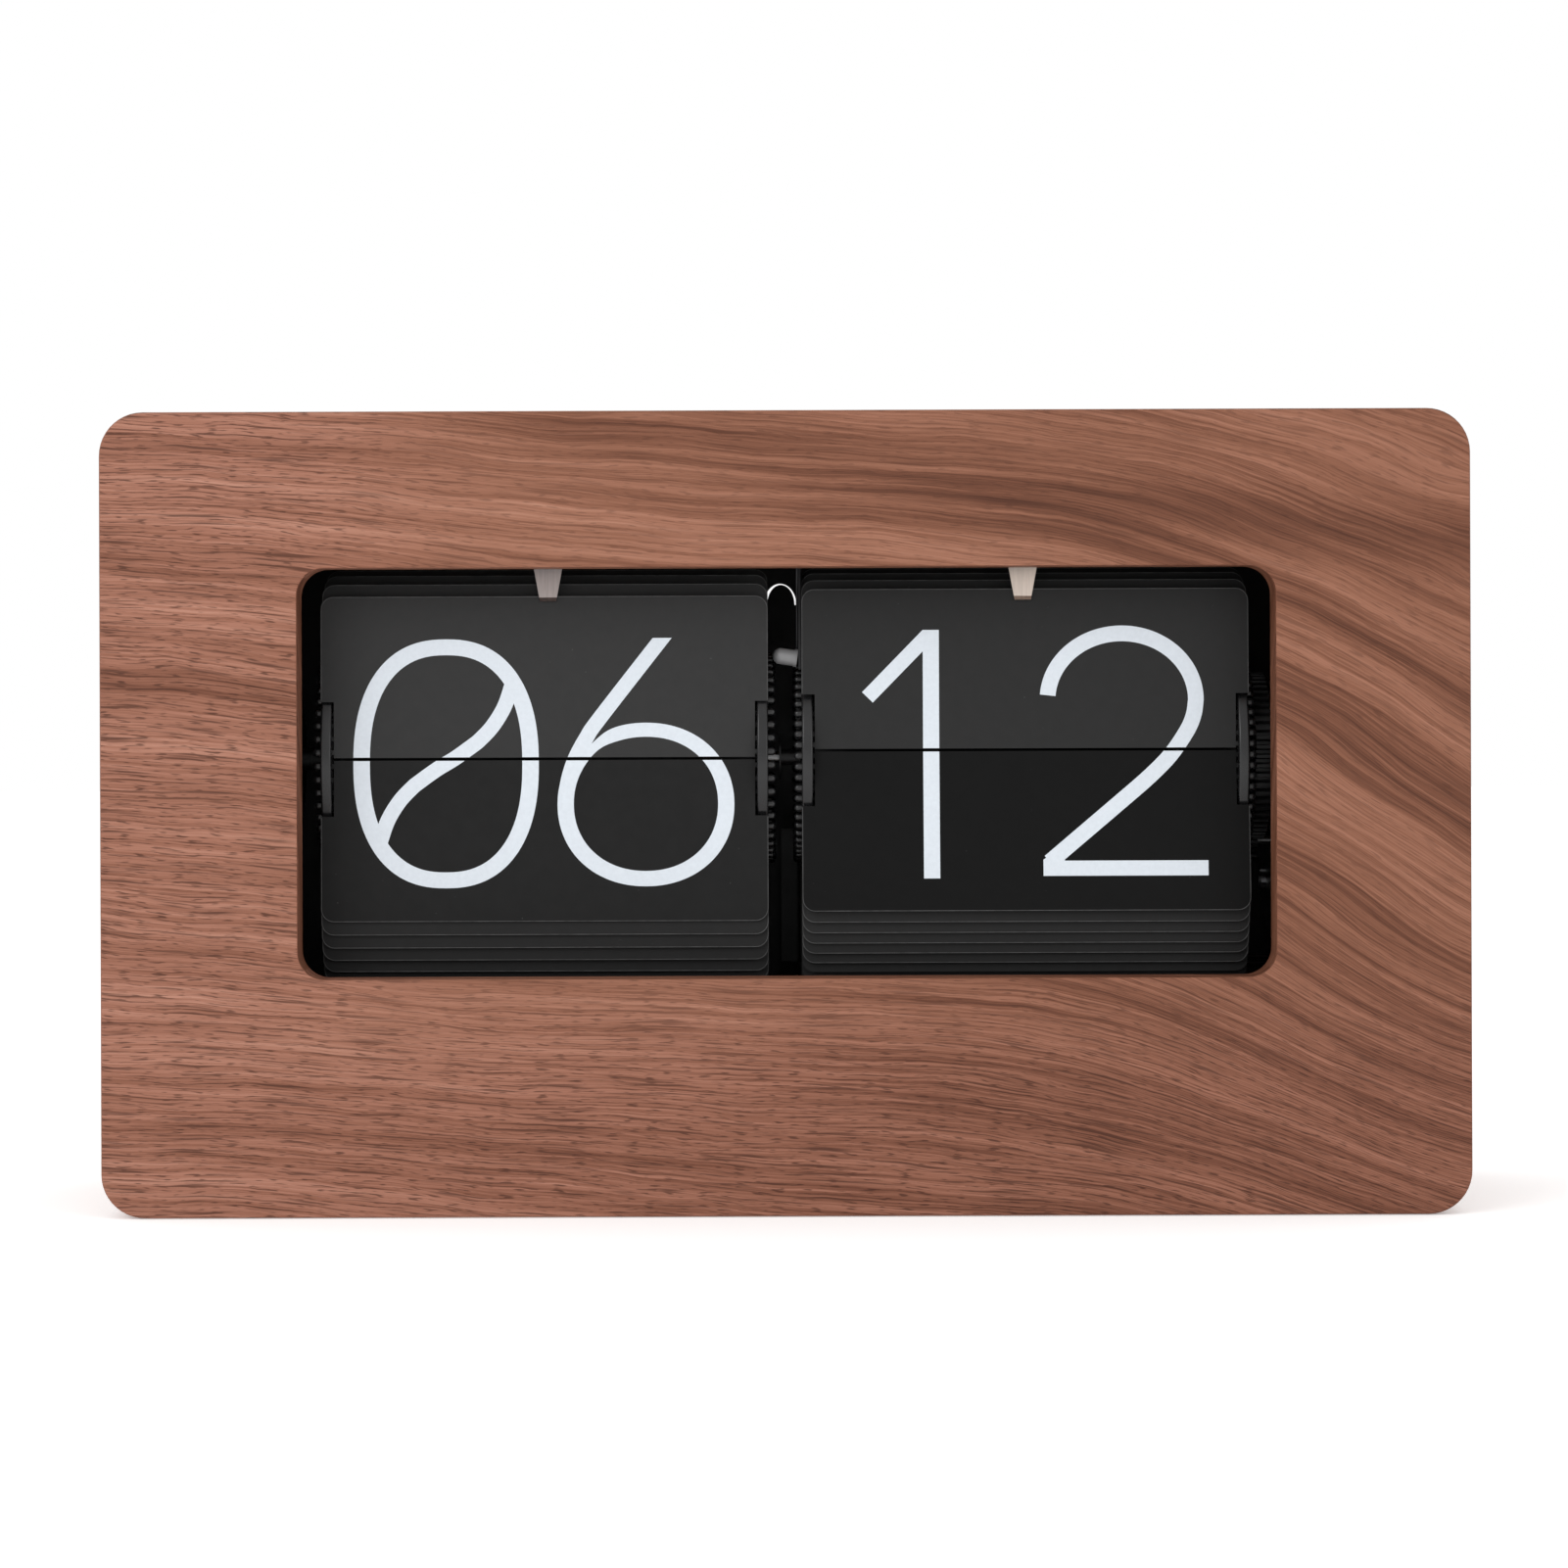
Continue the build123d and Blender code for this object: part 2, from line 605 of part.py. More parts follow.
STUD_GAP = 1.3
RING_GAP = 0.4
STUD_IN_X = DRUM_OUT_X + STUD_GAP
LEFT_STUD_IN_X = -131.6
LEFT_RING_X = -132.5
RING_R = 3.0
RING_T = 0.5
with BuildPart() as wheel_studs:
    with BuildSketch(across(LEFT_PLATE_X, LAY_Y)):
        Circle(STUD_R)
    extrude(amount=LEFT_STUD_IN_X - LEFT_PLATE_X)
    with BuildSketch(across(STUD_IN_X, SET_Y)):
        Circle(STUD_R)
    extrude(amount=RIGHT_PLATE_X + SHEET_T - STUD_IN_X)
save(wheel_studs, "wheel_studs")

with BuildPart() as retaining_rings:
    ring_at(
        [across(LEFT_RING_X, LAY_Y), across(STUD_IN_X + RING_GAP, SET_Y)],
        RING_R, STUD_R, RING_T,
    )
save(retaining_rings, "retaining_rings")

# ---------------------------------------------------------------- drums

SPOKES = 6
SPOKE_W = 4.0
SPOKE_MID_R = FLANGE_RIM_R / 2 + 2.0
SPOKE_START = 15.0
FIN_W = 8.0
FIN_T = 1.6


def flange(x_rim, outward, count, front_angle, bore_r):
    """Spoked drum flange in the part that is open, with its leaf groove and its beads."""
    with BuildSketch(across(x_rim)) as web:
        Circle(FLANGE_R)
        Circle(FLANGE_RIM_R, mode=Mode.SUBTRACT)
        Circle(HUB_R)
        with PolarLocations(SPOKE_MID_R, SPOKES, start_angle=SPOKE_START):
            Rectangle(FLANGE_RIM_R, SPOKE_W)
        Circle(bore_r, mode=Mode.SUBTRACT)
    extrude(web.sketch, amount=outward * FLANGE_T)
    with BuildSketch(across(x_rim)) as groove:
        Circle(PIVOT_R + GROOVE_HALF)
        Circle(PIVOT_R - GROOVE_HALF, mode=Mode.SUBTRACT)
    extrude(groove.sketch, amount=outward * GROOVE_DEPTH, mode=Mode.SUBTRACT)
    bead_seat = Plane(
        origin=(x_rim + outward * FLANGE_T, AXIS_Y, AXIS_Z),
        x_dir=(0, -1, 0), z_dir=(outward, 0, 0),
    )
    with Locations(bead_seat):
        with PolarLocations(PIVOT_R, count, start_angle=-outward * front_angle):
            Cylinder(BEAD_R, BEAD_STEM, align=(Align.CENTER, Align.CENTER, Align.MIN))
            with Locations((0, 0, BEAD_STEM)):
                Sphere(BEAD_R)


def rim_edges(part):
    """The two outer rim edges of a flange."""
    circles = part.edges().filter_by(GeomType.CIRCLE)
    return [edge for edge in circles if abs(edge.radius - FLANGE_R) < 0.01]


RIM_IN_X = DRUM_IN_X + FLANGE_T
RIM_OUT_X = DRUM_OUT_X - FLANGE_T

with BuildPart() as minute_flange_inner:
    flange(RIM_IN_X, -1, MINUTE_LEAVES, MINUTE_FRONT_ANGLE, AXLE_R)
    fillet(rim_edges(minute_flange_inner), RIM_ROUND)
save(minute_flange_inner, "minute_flange_inner")

with BuildPart() as minute_flange_outer:
    flange(RIM_OUT_X, 1, MINUTE_LEAVES, MINUTE_FRONT_ANGLE, AXLE_R)
    fillet(rim_edges(minute_flange_outer), RIM_ROUND)
save(minute_flange_outer, "minute_flange_outer")

with BuildPart() as hour_flange_inner:
    flange(-RIM_IN_X, 1, HOUR_LEAVES, HOUR_FRONT_ANGLE, AXLE_R + RUN_GAP)
    fillet(rim_edges(hour_flange_inner), RIM_ROUND)
save(hour_flange_inner, "hour_flange_inner")

with BuildPart() as hour_flange_outer:
    flange(-RIM_OUT_X, -1, HOUR_LEAVES, HOUR_FRONT_ANGLE, AXLE_R + RUN_GAP)
    fillet(rim_edges(hour_flange_outer), RIM_ROUND)
save(hour_flange_outer, "hour_flange_outer")


def drum_core(x0, bore_r):
    """Tube with long stiffening fins between two flanges, in the part that is open."""
    with BuildSketch(across(x0)) as tube:
        Circle(CORE_R)
        with PolarLocations(CORE_R, SPOKES, start_angle=SPOKE_START):
            Rectangle(FIN_W, FIN_T)
        Circle(bore_r, mode=Mode.SUBTRACT)
    extrude(tube.sketch, amount=RIM_OUT_X - RIM_IN_X)


with BuildPart() as minute_drum_core:
    drum_core(RIM_IN_X, AXLE_R)
save(minute_drum_core, "minute_drum_core")

with BuildPart() as hour_drum_core:
    drum_core(-RIM_OUT_X, AXLE_R + RUN_GAP)
save(hour_drum_core, "hour_drum_core")

AXLE_OUT = 2.0
AXLE_CHAMFER = 0.3
AXLE_X0 = LEFT_PLATE_X - AXLE_OUT
AXLE_X1 = RIGHT_PLATE_X + SHEET_T + AXLE_OUT
with BuildPart() as main_axle:
    with BuildSketch(across(AXLE_X0)):
        Circle(AXLE_R)
    extrude(amount=AXLE_X1 - AXLE_X0)
    chamfer(main_axle.edges().filter_by(GeomType.CIRCLE), AXLE_CHAMFER)
save(main_axle, "main_axle")

COLLAR_X = -1.0
COLLAR_R = 2.1
WASHER_R = 6.4
WASHER_T = 0.4
with BuildPart() as axle_collars:
    with BuildSketch(across(COLLAR_X)):
        Circle(COLLAR_R)
        Circle(AXLE_R, mode=Mode.SUBTRACT)
    extrude(amount=DRUM_IN_X - COLLAR_X)
    with BuildSketch(across(COLLAR_X - WASHER_T)):
        Circle(WASHER_R)
        Circle(AXLE_R, mode=Mode.SUBTRACT)
    extrude(amount=WASHER_T)
save(axle_collars, "axle_collars")

# ---------------------------------------------------------------- gears

AXLE_PINION_PHASE = 0.0
LAY_WHEEL_PHASE = mesh_phase(0, AXLE_PINION_PHASE, AXLE_PINION_TEETH, LAY_WHEEL_TEETH)
LAY_PINION_PHASE = 180.0
HOUR_GEAR_PHASE = mesh_phase(180, LAY_PINION_PHASE, LAY_PINION_TEETH, HOUR_GEAR_TEETH)
MINUTE_GEAR_PHASE = 0.0
SET_WHEEL_PHASE = mesh_phase(0, MINUTE_GEAR_PHASE, MINUTE_GEAR_TEETH, SET_WHEEL_TEETH)
MOTOR_PINION_PHASE = mesh_phase(
    MOTOR_ANGLE, MINUTE_GEAR_PHASE, MINUTE_GEAR_TEETH, MOTOR_PINION_TEETH
)
HOUR_HOLES_R = 10.5
HOUR_HOLE_R = 3.4
LAY_HOLES_R = 9.5
LAY_HOLE_R = 3.2
MINUTE_HOLES_R = 13.0
MINUTE_HOLE_R = 4.2
GEAR_HUB_R = 2.6
LEFT_COLLAR_X = -131.6
LEFT_COLLAR_R = 3.0
LEFT_COLLAR_T = 2.4
PINION_OVER = 0.5
PINION_HUB_R = 3.2
PINION_HUB_L = 3.0
LAY_PINION_OVER = 0.3

with BuildPart() as hour_gear:
    with BuildSketch(across(HOUR_GEAR_X)):
        gear_face(HOUR_GEAR_TEETH, FINE_MODULE, HOUR_GEAR_PHASE)
        with PolarLocations(HOUR_HOLES_R, SPOKES):
            Circle(HOUR_HOLE_R, mode=Mode.SUBTRACT)
    extrude(amount=HOUR_GEAR_T)
    with BuildSketch(across(HOUR_GEAR_X)):
        Circle(GEAR_HUB_R)
    extrude(amount=-DRUM_OUT_X - HOUR_GEAR_X)
    with BuildSketch(across(LEFT_COLLAR_X)):
        Circle(LEFT_COLLAR_R)
    extrude(amount=LEFT_COLLAR_T)
    with BuildSketch(across(HOUR_GEAR_X)):
        Circle(AXLE_R + RUN_GAP)
    extrude(amount=-DRUM_OUT_X - HOUR_GEAR_X, mode=Mode.SUBTRACT)
save(hour_gear, "hour_gear")

with BuildPart() as axle_pinion:
    with BuildSketch(across(LAY_WHEEL_X - PINION_OVER)):
        gear_face(AXLE_PINION_TEETH, FINE_MODULE, AXLE_PINION_PHASE)
        Circle(AXLE_R, mode=Mode.SUBTRACT)
    extrude(amount=LAY_WHEEL_T + 2 * PINION_OVER)
    with BuildSketch(across(LAY_WHEEL_X - PINION_OVER - PINION_HUB_L)):
        Circle(PINION_HUB_R)
        Circle(AXLE_R, mode=Mode.SUBTRACT)
    extrude(amount=PINION_HUB_L)
save(axle_pinion, "axle_pinion")

LAY_PINION_X1 = HOUR_GEAR_X + HOUR_GEAR_T + LAY_PINION_OVER
with BuildPart() as lay_gear:
    with BuildSketch(across(LAY_WHEEL_X, LAY_Y)):
        gear_face(LAY_WHEEL_TEETH, FINE_MODULE, LAY_WHEEL_PHASE)
        with PolarLocations(LAY_HOLES_R, SPOKES):
            Circle(LAY_HOLE_R, mode=Mode.SUBTRACT)
    extrude(amount=LAY_WHEEL_T)
    with BuildSketch(across(LAY_WHEEL_X + LAY_WHEEL_T, LAY_Y)):
        gear_face(LAY_PINION_TEETH, FINE_MODULE, LAY_PINION_PHASE)
    extrude(amount=LAY_PINION_X1 - LAY_WHEEL_X - LAY_WHEEL_T)
    with BuildSketch(across(LAY_WHEEL_X, LAY_Y)):
        Circle(STUD_R + RUN_GAP)
    extrude(amount=LAY_PINION_X1 - LAY_WHEEL_X, mode=Mode.SUBTRACT)
save(lay_gear, "lay_gear")

with BuildPart() as minute_gear:
    with BuildSketch(across(MINUTE_GEAR_X)):
        gear_face(MINUTE_GEAR_TEETH, COARSE_MODULE, MINUTE_GEAR_PHASE)
        with PolarLocations(MINUTE_HOLES_R, SPOKES):
            Circle(MINUTE_HOLE_R, mode=Mode.SUBTRACT)
    extrude(amount=MINUTE_GEAR_T)
    with BuildSketch(across(DRUM_OUT_X)):
        Circle(HUB_R)
    extrude(amount=MINUTE_GEAR_X - DRUM_OUT_X)
    with BuildSketch(across(DRUM_OUT_X)):
        Circle(AXLE_R)
    extrude(amount=MINUTE_GEAR_X + MINUTE_GEAR_T - DRUM_OUT_X, mode=Mode.SUBTRACT)
save(minute_gear, "minute_gear")

THUMB_R = 17.3
THUMB_GAP = 0.4
THUMB_T = 3.2
THUMB_X0 = MINUTE_GEAR_X + MINUTE_GEAR_T + THUMB_GAP
THUMB_X1 = THUMB_X0 + THUMB_T
KNURLS = 48
KNURL_R = 0.7
KNURL_OUT = 0.2
with BuildPart() as set_wheel:
    with BuildSketch(across(MINUTE_GEAR_X, SET_Y)):
        gear_face(SET_WHEEL_TEETH, COARSE_MODULE, SET_WHEEL_PHASE)
    extrude(amount=THUMB_X0 - MINUTE_GEAR_X)
    with BuildSketch(across(THUMB_X0, SET_Y)):
        Circle(THUMB_R)
        with PolarLocations(THUMB_R + KNURL_OUT, KNURLS):
            Circle(KNURL_R, mode=Mode.SUBTRACT)
    extrude(amount=THUMB_X1 - THUMB_X0)
    with BuildSketch(across(MINUTE_GEAR_X, SET_Y)):
        Circle(STUD_R + RUN_GAP)
    extrude(amount=THUMB_X1 - MINUTE_GEAR_X, mode=Mode.SUBTRACT)
save(set_wheel, "set_wheel")

# ---------------------------------------------------------------- motor

SHAFT_R = 1.1
MOTOR_X0 = RIGHT_PLATE_X + SHEET_T
MOTOR_X1 = 152.0
MOTOR_W = 44.0
MOTOR_H = 38.0
MOTOR_WALL = 1.5
MOTOR_CAP_T = 2.0
MOTOR_CORNER_R = 3.0
MOTOR_EDGE_R = 1.0
SHAFT_REACH = 8.0
BUSH_REACH = 4.0

with BuildPart() as motor_pinion:
    with BuildSketch(across(MINUTE_GEAR_X, MOTOR_Y, MOTOR_Z)):
        gear_face(MOTOR_PINION_TEETH, COARSE_MODULE, MOTOR_PINION_PHASE)
        Circle(SHAFT_R, mode=Mode.SUBTRACT)
    extrude(amount=MINUTE_GEAR_T)
save(motor_pinion, "motor_pinion")

with BuildPart() as motor_shaft:
    with BuildSketch(across(MINUTE_GEAR_X, MOTOR_Y, MOTOR_Z)):
        Circle(SHAFT_R)
    extrude(amount=MOTOR_X0 + SHAFT_REACH - MINUTE_GEAR_X)
save(motor_shaft, "motor_shaft")

with BuildPart() as motor_housing:
    with BuildSketch(across(MOTOR_X0, MOTOR_Y, MOTOR_Z)):
        RectangleRounded(MOTOR_W, MOTOR_H, MOTOR_CORNER_R)
    extrude(amount=MOTOR_X1 - MOTOR_X0)
    with BuildSketch(across(MOTOR_X0 + MOTOR_WALL, MOTOR_Y, MOTOR_Z)):
        RectangleRounded(
            MOTOR_W - 2 * MOTOR_WALL, MOTOR_H - 2 * MOTOR_WALL, MOTOR_CORNER_R - MOTOR_WALL
        )
    extrude(amount=MOTOR_X1 - MOTOR_X0 - MOTOR_WALL, mode=Mode.SUBTRACT)
    with BuildSketch(across(RIGHT_PLATE_X, MOTOR_Y, MOTOR_Z)):
        Circle(MOTOR_BUSH_R)
    extrude(amount=SHEET_T + BUSH_REACH)
    with BuildSketch(across(RIGHT_PLATE_X, MOTOR_Y, MOTOR_Z)):
        Circle(SHAFT_R + RUN_GAP)
    extrude(amount=SHEET_T + BUSH_REACH, mode=Mode.SUBTRACT)
    with BuildSketch(across(MOTOR_X0)):
        for screw_y, screw_z in MOTOR_SCREW_YZ:
            with Locations((screw_y - AXIS_Y, screw_z - AXIS_Z)):
                Circle(SCREW_SHANK_R)
    extrude(amount=MOTOR_WALL, mode=Mode.SUBTRACT)
save(motor_housing, "motor_housing")

with BuildPart() as motor_cover:
    with BuildSketch(across(MOTOR_X1, MOTOR_Y, MOTOR_Z)):
        RectangleRounded(MOTOR_W, MOTOR_H, MOTOR_CORNER_R)
    extrude(amount=MOTOR_CAP_T)
    fillet(motor_cover.faces().sort_by(Axis.X)[-1].edges(), MOTOR_EDGE_R)
save(motor_cover, "motor_cover")

COIL_R = 6.5
COIL_L = 7.0
COIL_GAP = 4.0
COIL_DY = -10.0
with BuildPart() as motor_coil:
    with BuildSketch(across(MOTOR_X0 + COIL_GAP, MOTOR_Y + COIL_DY, MOTOR_Z)):
        Circle(COIL_R)
    extrude(amount=COIL_L)
save(motor_coil, "motor_coil")

with BuildPart() as motor_screws:
    seats = [
        Plane(origin=(RIGHT_PLATE_X - SCREW_HEAD_H, y, z), x_dir=(0, 1, 0), z_dir=(-1, 0, 0))
        for y, z in MOTOR_SCREW_YZ
    ]
    screws_at(
        seats, SCREW_SHANK_R, SCREW_HEAD_H + SHEET_T + MOTOR_WALL, SCREW_HEAD_R, SCREW_HEAD_H
    )
save(motor_screws, "motor_screws")

# ---------------------------------------------------------------- leaves

minute_upper, minute_lower = stations_of(
    MINUTE_LEAVES, MINUTE_FRONT_ANGLE, MINUTE_LEAN_BACK, MINUTE_REST_LEAN, MINUTE_FRONT_TILT
)
hour_upper, hour_lower = stations_of(
    HOUR_LEAVES, HOUR_FRONT_ANGLE, HOUR_LEAN_BACK, HOUR_REST_LEAN, HOUR_FRONT_TILT
)

with BuildPart() as minute_flip_leaf:
    leaf_stack(LEAF_X, MINUTE_TAIL, minute_upper[:1])
save(minute_flip_leaf, "minute_flip_leaf")

with BuildPart() as minute_lower_leaf:
    leaf_stack(LEAF_X, MINUTE_TAIL, minute_lower[:1])
save(minute_lower_leaf, "minute_lower_leaf")

with BuildPart() as minute_upper_stack:
    leaf_stack(LEAF_X, MINUTE_TAIL, minute_upper[1:])
save(minute_upper_stack, "minute_upper_stack")

with BuildPart() as minute_lower_stack:
    leaf_stack(LEAF_X, MINUTE_TAIL, minute_lower[1:])
save(minute_lower_stack, "minute_lower_stack")

with BuildPart() as hour_flip_leaf:
    leaf_stack(-LEAF_X, HOUR_TAIL, hour_upper[:1])
save(hour_flip_leaf, "hour_flip_leaf")

with BuildPart() as hour_lower_leaf:
    leaf_stack(-LEAF_X, HOUR_TAIL, hour_lower[:1])
save(hour_lower_leaf, "hour_lower_leaf")

with BuildPart() as hour_upper_stack:
    leaf_stack(-LEAF_X, HOUR_TAIL, hour_upper[1:])
save(hour_upper_stack, "hour_upper_stack")

with BuildPart() as hour_lower_stack:
    leaf_stack(-LEAF_X, HOUR_TAIL, hour_lower[1:])
save(hour_lower_stack, "hour_lower_stack")

# ---------------------------------------------------------------- clips

RAIL_Z0 = 172.0
RAIL_Z1 = 184.0
RAIL_X = 86.0
RAIL_SCREW_X = 40.0
RAIL_SCREW_Z = 179.0
CLIP_FOOT_H = 9.0
LIP_H = 1.0
LIP_OUT = 0.7
LIP_CUT = 0.1
CLIP_BEND_H = 1.0

with BuildPart() as clip_rail:
    with BuildSketch(Plane.XZ.offset(-PANEL_BACK_Y - RAIL_T)):
        with Locations((0, (RAIL_Z0 + RAIL_Z1) / 2)):
            Rectangle(2 * RAIL_X, RAIL_Z1 - RAIL_Z0)
        with Locations((-RAIL_SCREW_X, RAIL_SCREW_Z), (RAIL_SCREW_X, RAIL_SCREW_Z)):
            Circle(SCREW_SHANK_R, mode=Mode.SUBTRACT)
    extrude(amount=RAIL_T)
save(clip_rail, "clip_rail")

with BuildPart() as rail_screws:
    seats = [
        Plane(
            origin=(x, PANEL_BACK_Y + RAIL_T + SCREW_HEAD_H, RAIL_SCREW_Z),
            x_dir=(-1, 0, 0),
            z_dir=(0, 1, 0),
        )
        for x in (-RAIL_SCREW_X, RAIL_SCREW_X)
    ]
    screws_at(seats, SCREW_SHANK_R, RAIL_T + SCREW_HEAD_H, SCREW_HEAD_R, SCREW_HEAD_H)
save(rail_screws, "rail_screws")


def leaf_clip(x):
    """Sprung blade in the part that is open: foot on the rail, arm back, blade down, lip."""
    rail_y = PANEL_BACK_Y + RAIL_T
    with BuildSketch(across(x, 0, 0)) as side:
        with BuildLine():
            Polyline(
                (rail_y, CLIP_TOP_Z + CLIP_FOOT_H),
                (rail_y, CLIP_TOP_Z),
                (CLIP_FRONT_Y, CLIP_TOP_Z),
                (CLIP_FRONT_Y, CLIP_TIP_Z + LIP_H),
                (CLIP_FRONT_Y - LIP_OUT, CLIP_TIP_Z),
                (CLIP_FRONT_Y - LIP_OUT + CLIP_T, CLIP_TIP_Z - LIP_CUT),
                (CLIP_FRONT_Y + CLIP_T, CLIP_TIP_Z + LIP_H - LIP_CUT),
                (CLIP_FRONT_Y + CLIP_T, CLIP_TOP_Z + CLIP_T),
                (rail_y + CLIP_T, CLIP_TOP_Z + CLIP_T),
                (rail_y + CLIP_T, CLIP_TOP_Z + CLIP_FOOT_H),
                close=True,
            )
        make_face()
    extrude(side.sketch, amount=CLIP_TOP_W / 2, both=True)
    top_z = CLIP_TOP_Z + 2 * CLIP_FOOT_H
    bend_z = CLIP_TOP_Z - CLIP_BEND_H
    tip_z = CLIP_TIP_Z - LIP_H
    with BuildSketch(Plane.XZ.offset(-FRONT_Y)) as front:
        with BuildLine():
            Polyline(
                (x - CLIP_TOP_W / 2, top_z),
                (x - CLIP_TOP_W / 2, bend_z),
                (x - CLIP_TIP_W / 2, tip_z),
                (x + CLIP_TIP_W / 2, tip_z),
                (x + CLIP_TOP_W / 2, bend_z),
                (x + CLIP_TOP_W / 2, top_z),
                close=True,
            )
        make_face()
    extrude(front.sketch, amount=FRONT_Y, mode=Mode.INTERSECT)


with BuildPart() as hour_clip:
    leaf_clip(CLIP_XS[0])
save(hour_clip, "hour_clip")

with BuildPart() as minute_clip:
    leaf_clip(CLIP_XS[1])
save(minute_clip, "minute_clip")

# ---------------------------------------------------------------- lamp and centre post

LAMP_L = 5.8
LAMP_FLANGE_R = 2.45
LAMP_FLANGE_T = 0.9
BRACKET_X = 3.75
BRACKET_T = 0.6
BRACKET_HALF = 2.4
BRACKET_LOW = 3.0
BRACKET_NECK_Y0 = -24.0
BRACKET_NECK_Y1 = -14.0
BRACKET_NECK_Z = 175.0
BRACKET_ARM_Y = -19.0
BRACKET_ARM_Z = 156.0
BRACKET_FOOT_L = 12.0
LAMP_BASE_X = BRACKET_X - LAMP_FLANGE_R * sin(radians(LAMP_TILT))

lamp_axis = Plane(
    origin=(LAMP_BASE_X, LAMP_Y, LAMP_Z), x_dir=(0, 1, 0),
    z_dir=(-cos(radians(LAMP_TILT)), 0, sin(radians(LAMP_TILT))),
)
with BuildPart() as lamp:
    with BuildSketch(lamp_axis):
        Circle(LAMP_FLANGE_R)
    extrude(amount=LAMP_FLANGE_T)
    with BuildSketch(lamp_axis):
        Circle(LAMP_R)
    extrude(amount=LAMP_L - LAMP_R + LAMP_FLANGE_T)
    with Locations(lamp_axis.offset(LAMP_L - LAMP_R + LAMP_FLANGE_T)):
        Sphere(LAMP_R)
save(lamp, "lamp")

with BuildPart() as lamp_bracket:
    with BuildSketch(across(BRACKET_X, 0, 0)):
        with BuildLine():
            Polyline(
                (LAMP_Y - BRACKET_HALF, LAMP_Z - BRACKET_LOW),
                (LAMP_Y + BRACKET_LOW, LAMP_Z - BRACKET_LOW),
                (BRACKET_ARM_Y, BRACKET_ARM_Z),
                (BRACKET_NECK_Y1, BRACKET_NECK_Z),
                (BRACKET_NECK_Y1, CASE_H - WALL),
                (BRACKET_NECK_Y0, CASE_H - WALL),
                (BRACKET_NECK_Y0, BRACKET_NECK_Z),
                (LAMP_Y - BRACKET_HALF, LAMP_Z + BRACKET_LOW),
                close=True,
            )
        make_face()
    extrude(amount=BRACKET_T)
    with BuildSketch(Plane.XY.offset(CASE_H - WALL)):
        with Locations((BRACKET_X + BRACKET_FOOT_L / 2, (BRACKET_NECK_Y0 + BRACKET_NECK_Y1) / 2)):
            Rectangle(BRACKET_FOOT_L, BRACKET_NECK_Y1 - BRACKET_NECK_Y0)
    extrude(amount=-BRACKET_T)
save(lamp_bracket, "lamp_bracket")

POST_X = 1.5
POST_W = 4.6
POST_Y0 = 28.0
POST_Y1 = 32.0
POST_TOP_Z = 99.4
POST_FOOT_Y0 = -20.0
POST_FOOT_Y1 = 3.0
POST_HEEL_Z = 24.0
POST_TOE_Z = 34.0
POST_KNEE_Z = 62.0
POST_BEND_Z = 44.0
POST_ARCH = [(10.0, 52.0), (-10.0, 47.0)]
with BuildPart() as centre_post:
    with BuildSketch(across(POST_X - POST_W / 2, 0, 0)):
        with BuildLine():
            Polyline(
                (POST_FOOT_Y0, FOOT_Z),
                (POST_FOOT_Y1, FOOT_Z),
                (POST_FOOT_Y1, POST_HEEL_Z),
                (POST_Y1, POST_BEND_Z),
                (POST_Y1, POST_TOP_Z),
                (POST_Y0, POST_TOP_Z),
                (POST_Y0, POST_KNEE_Z),
                *POST_ARCH,
                (POST_FOOT_Y0, POST_TOE_Z),
                close=True,
            )
        make_face()
    extrude(amount=POST_W)
save(centre_post, "centre_post")

# ---------------------------------------------------------------- wires

WIRE_R = 0.7
WIRE_PITCH = 2.0
WIRE_BEND_R = 4.0
WIRE_X0 = 116.0
WIRE_X1 = 144.0
WIRE_Y = 46.0
WIRE_LOW_Z = 60.0
WIRE_HIGH_Z = 90.0
LEAD_R = 0.3
LEAD_PITCH = 1.2
LEAD_BEND_R = 2.0
LEAD_X = BRACKET_X - LEAD_R - RUN_GAP
LEAD_START_Y = LAMP_Y + 1.5
LEAD_START_Z = LAMP_Z + LAMP_FLANGE_R + 0.4
LEAD_FRONT_Y = -27.5
LEAD_TOP_Z = 197.0
LEAD_SIDE_X = 167.0
LEAD_LOW_Z = 30.0
LEAD_IN_Y = 25.0


def wire_run(points, bend_r, wire_r):
    """Round wire along straight runs with rounded bends, in the part that is open."""
    with BuildLine() as run:
        FilletPolyline(*points, radius=bend_r)
    route = run.line
    with BuildSketch(Plane(origin=route @ 0, z_dir=route % 0)) as cut:
        Circle(wire_r)
    sweep(cut.sketch, path=route)


with BuildPart() as battery_wires:
    for step in (0, WIRE_PITCH):
        wire_run(
            [
                (WIRE_X0 + step, WIRE_Y - step, BOX_Z1),
                (WIRE_X0 + step, WIRE_Y - step, WIRE_LOW_Z + step),
                (WIRE_X1 + step, WIRE_Y - step, WIRE_LOW_Z + step),
                (WIRE_X1 + step, WIRE_Y - step, WIRE_HIGH_Z + step),
                (WIRE_X1 + step, MOTOR_Y + MOTOR_W / 2, WIRE_HIGH_Z + step),
            ],
            WIRE_BEND_R, WIRE_R,
        )
save(battery_wires, "battery_wires")

with BuildPart() as lamp_leads:
    for step in (0, LEAD_PITCH):
        wire_run(
            [
                (LEAD_X, LEAD_START_Y + step, LEAD_START_Z),
                (LEAD_X, LEAD_FRONT_Y + step, LEAD_TOP_Z + step),
                (LEAD_SIDE_X + step, LEAD_FRONT_Y + step, LEAD_TOP_Z + step),
                (LEAD_SIDE_X + step, LEAD_FRONT_Y + step, LEAD_LOW_Z + step),
                (LEAD_SIDE_X + step, LEAD_IN_Y + step, LEAD_LOW_Z + step),
                (BOX_X1, LEAD_IN_Y + step, LEAD_LOW_Z + step),
            ],
            LEAD_BEND_R, LEAD_R,
        )
save(lamp_leads, "lamp_leads")
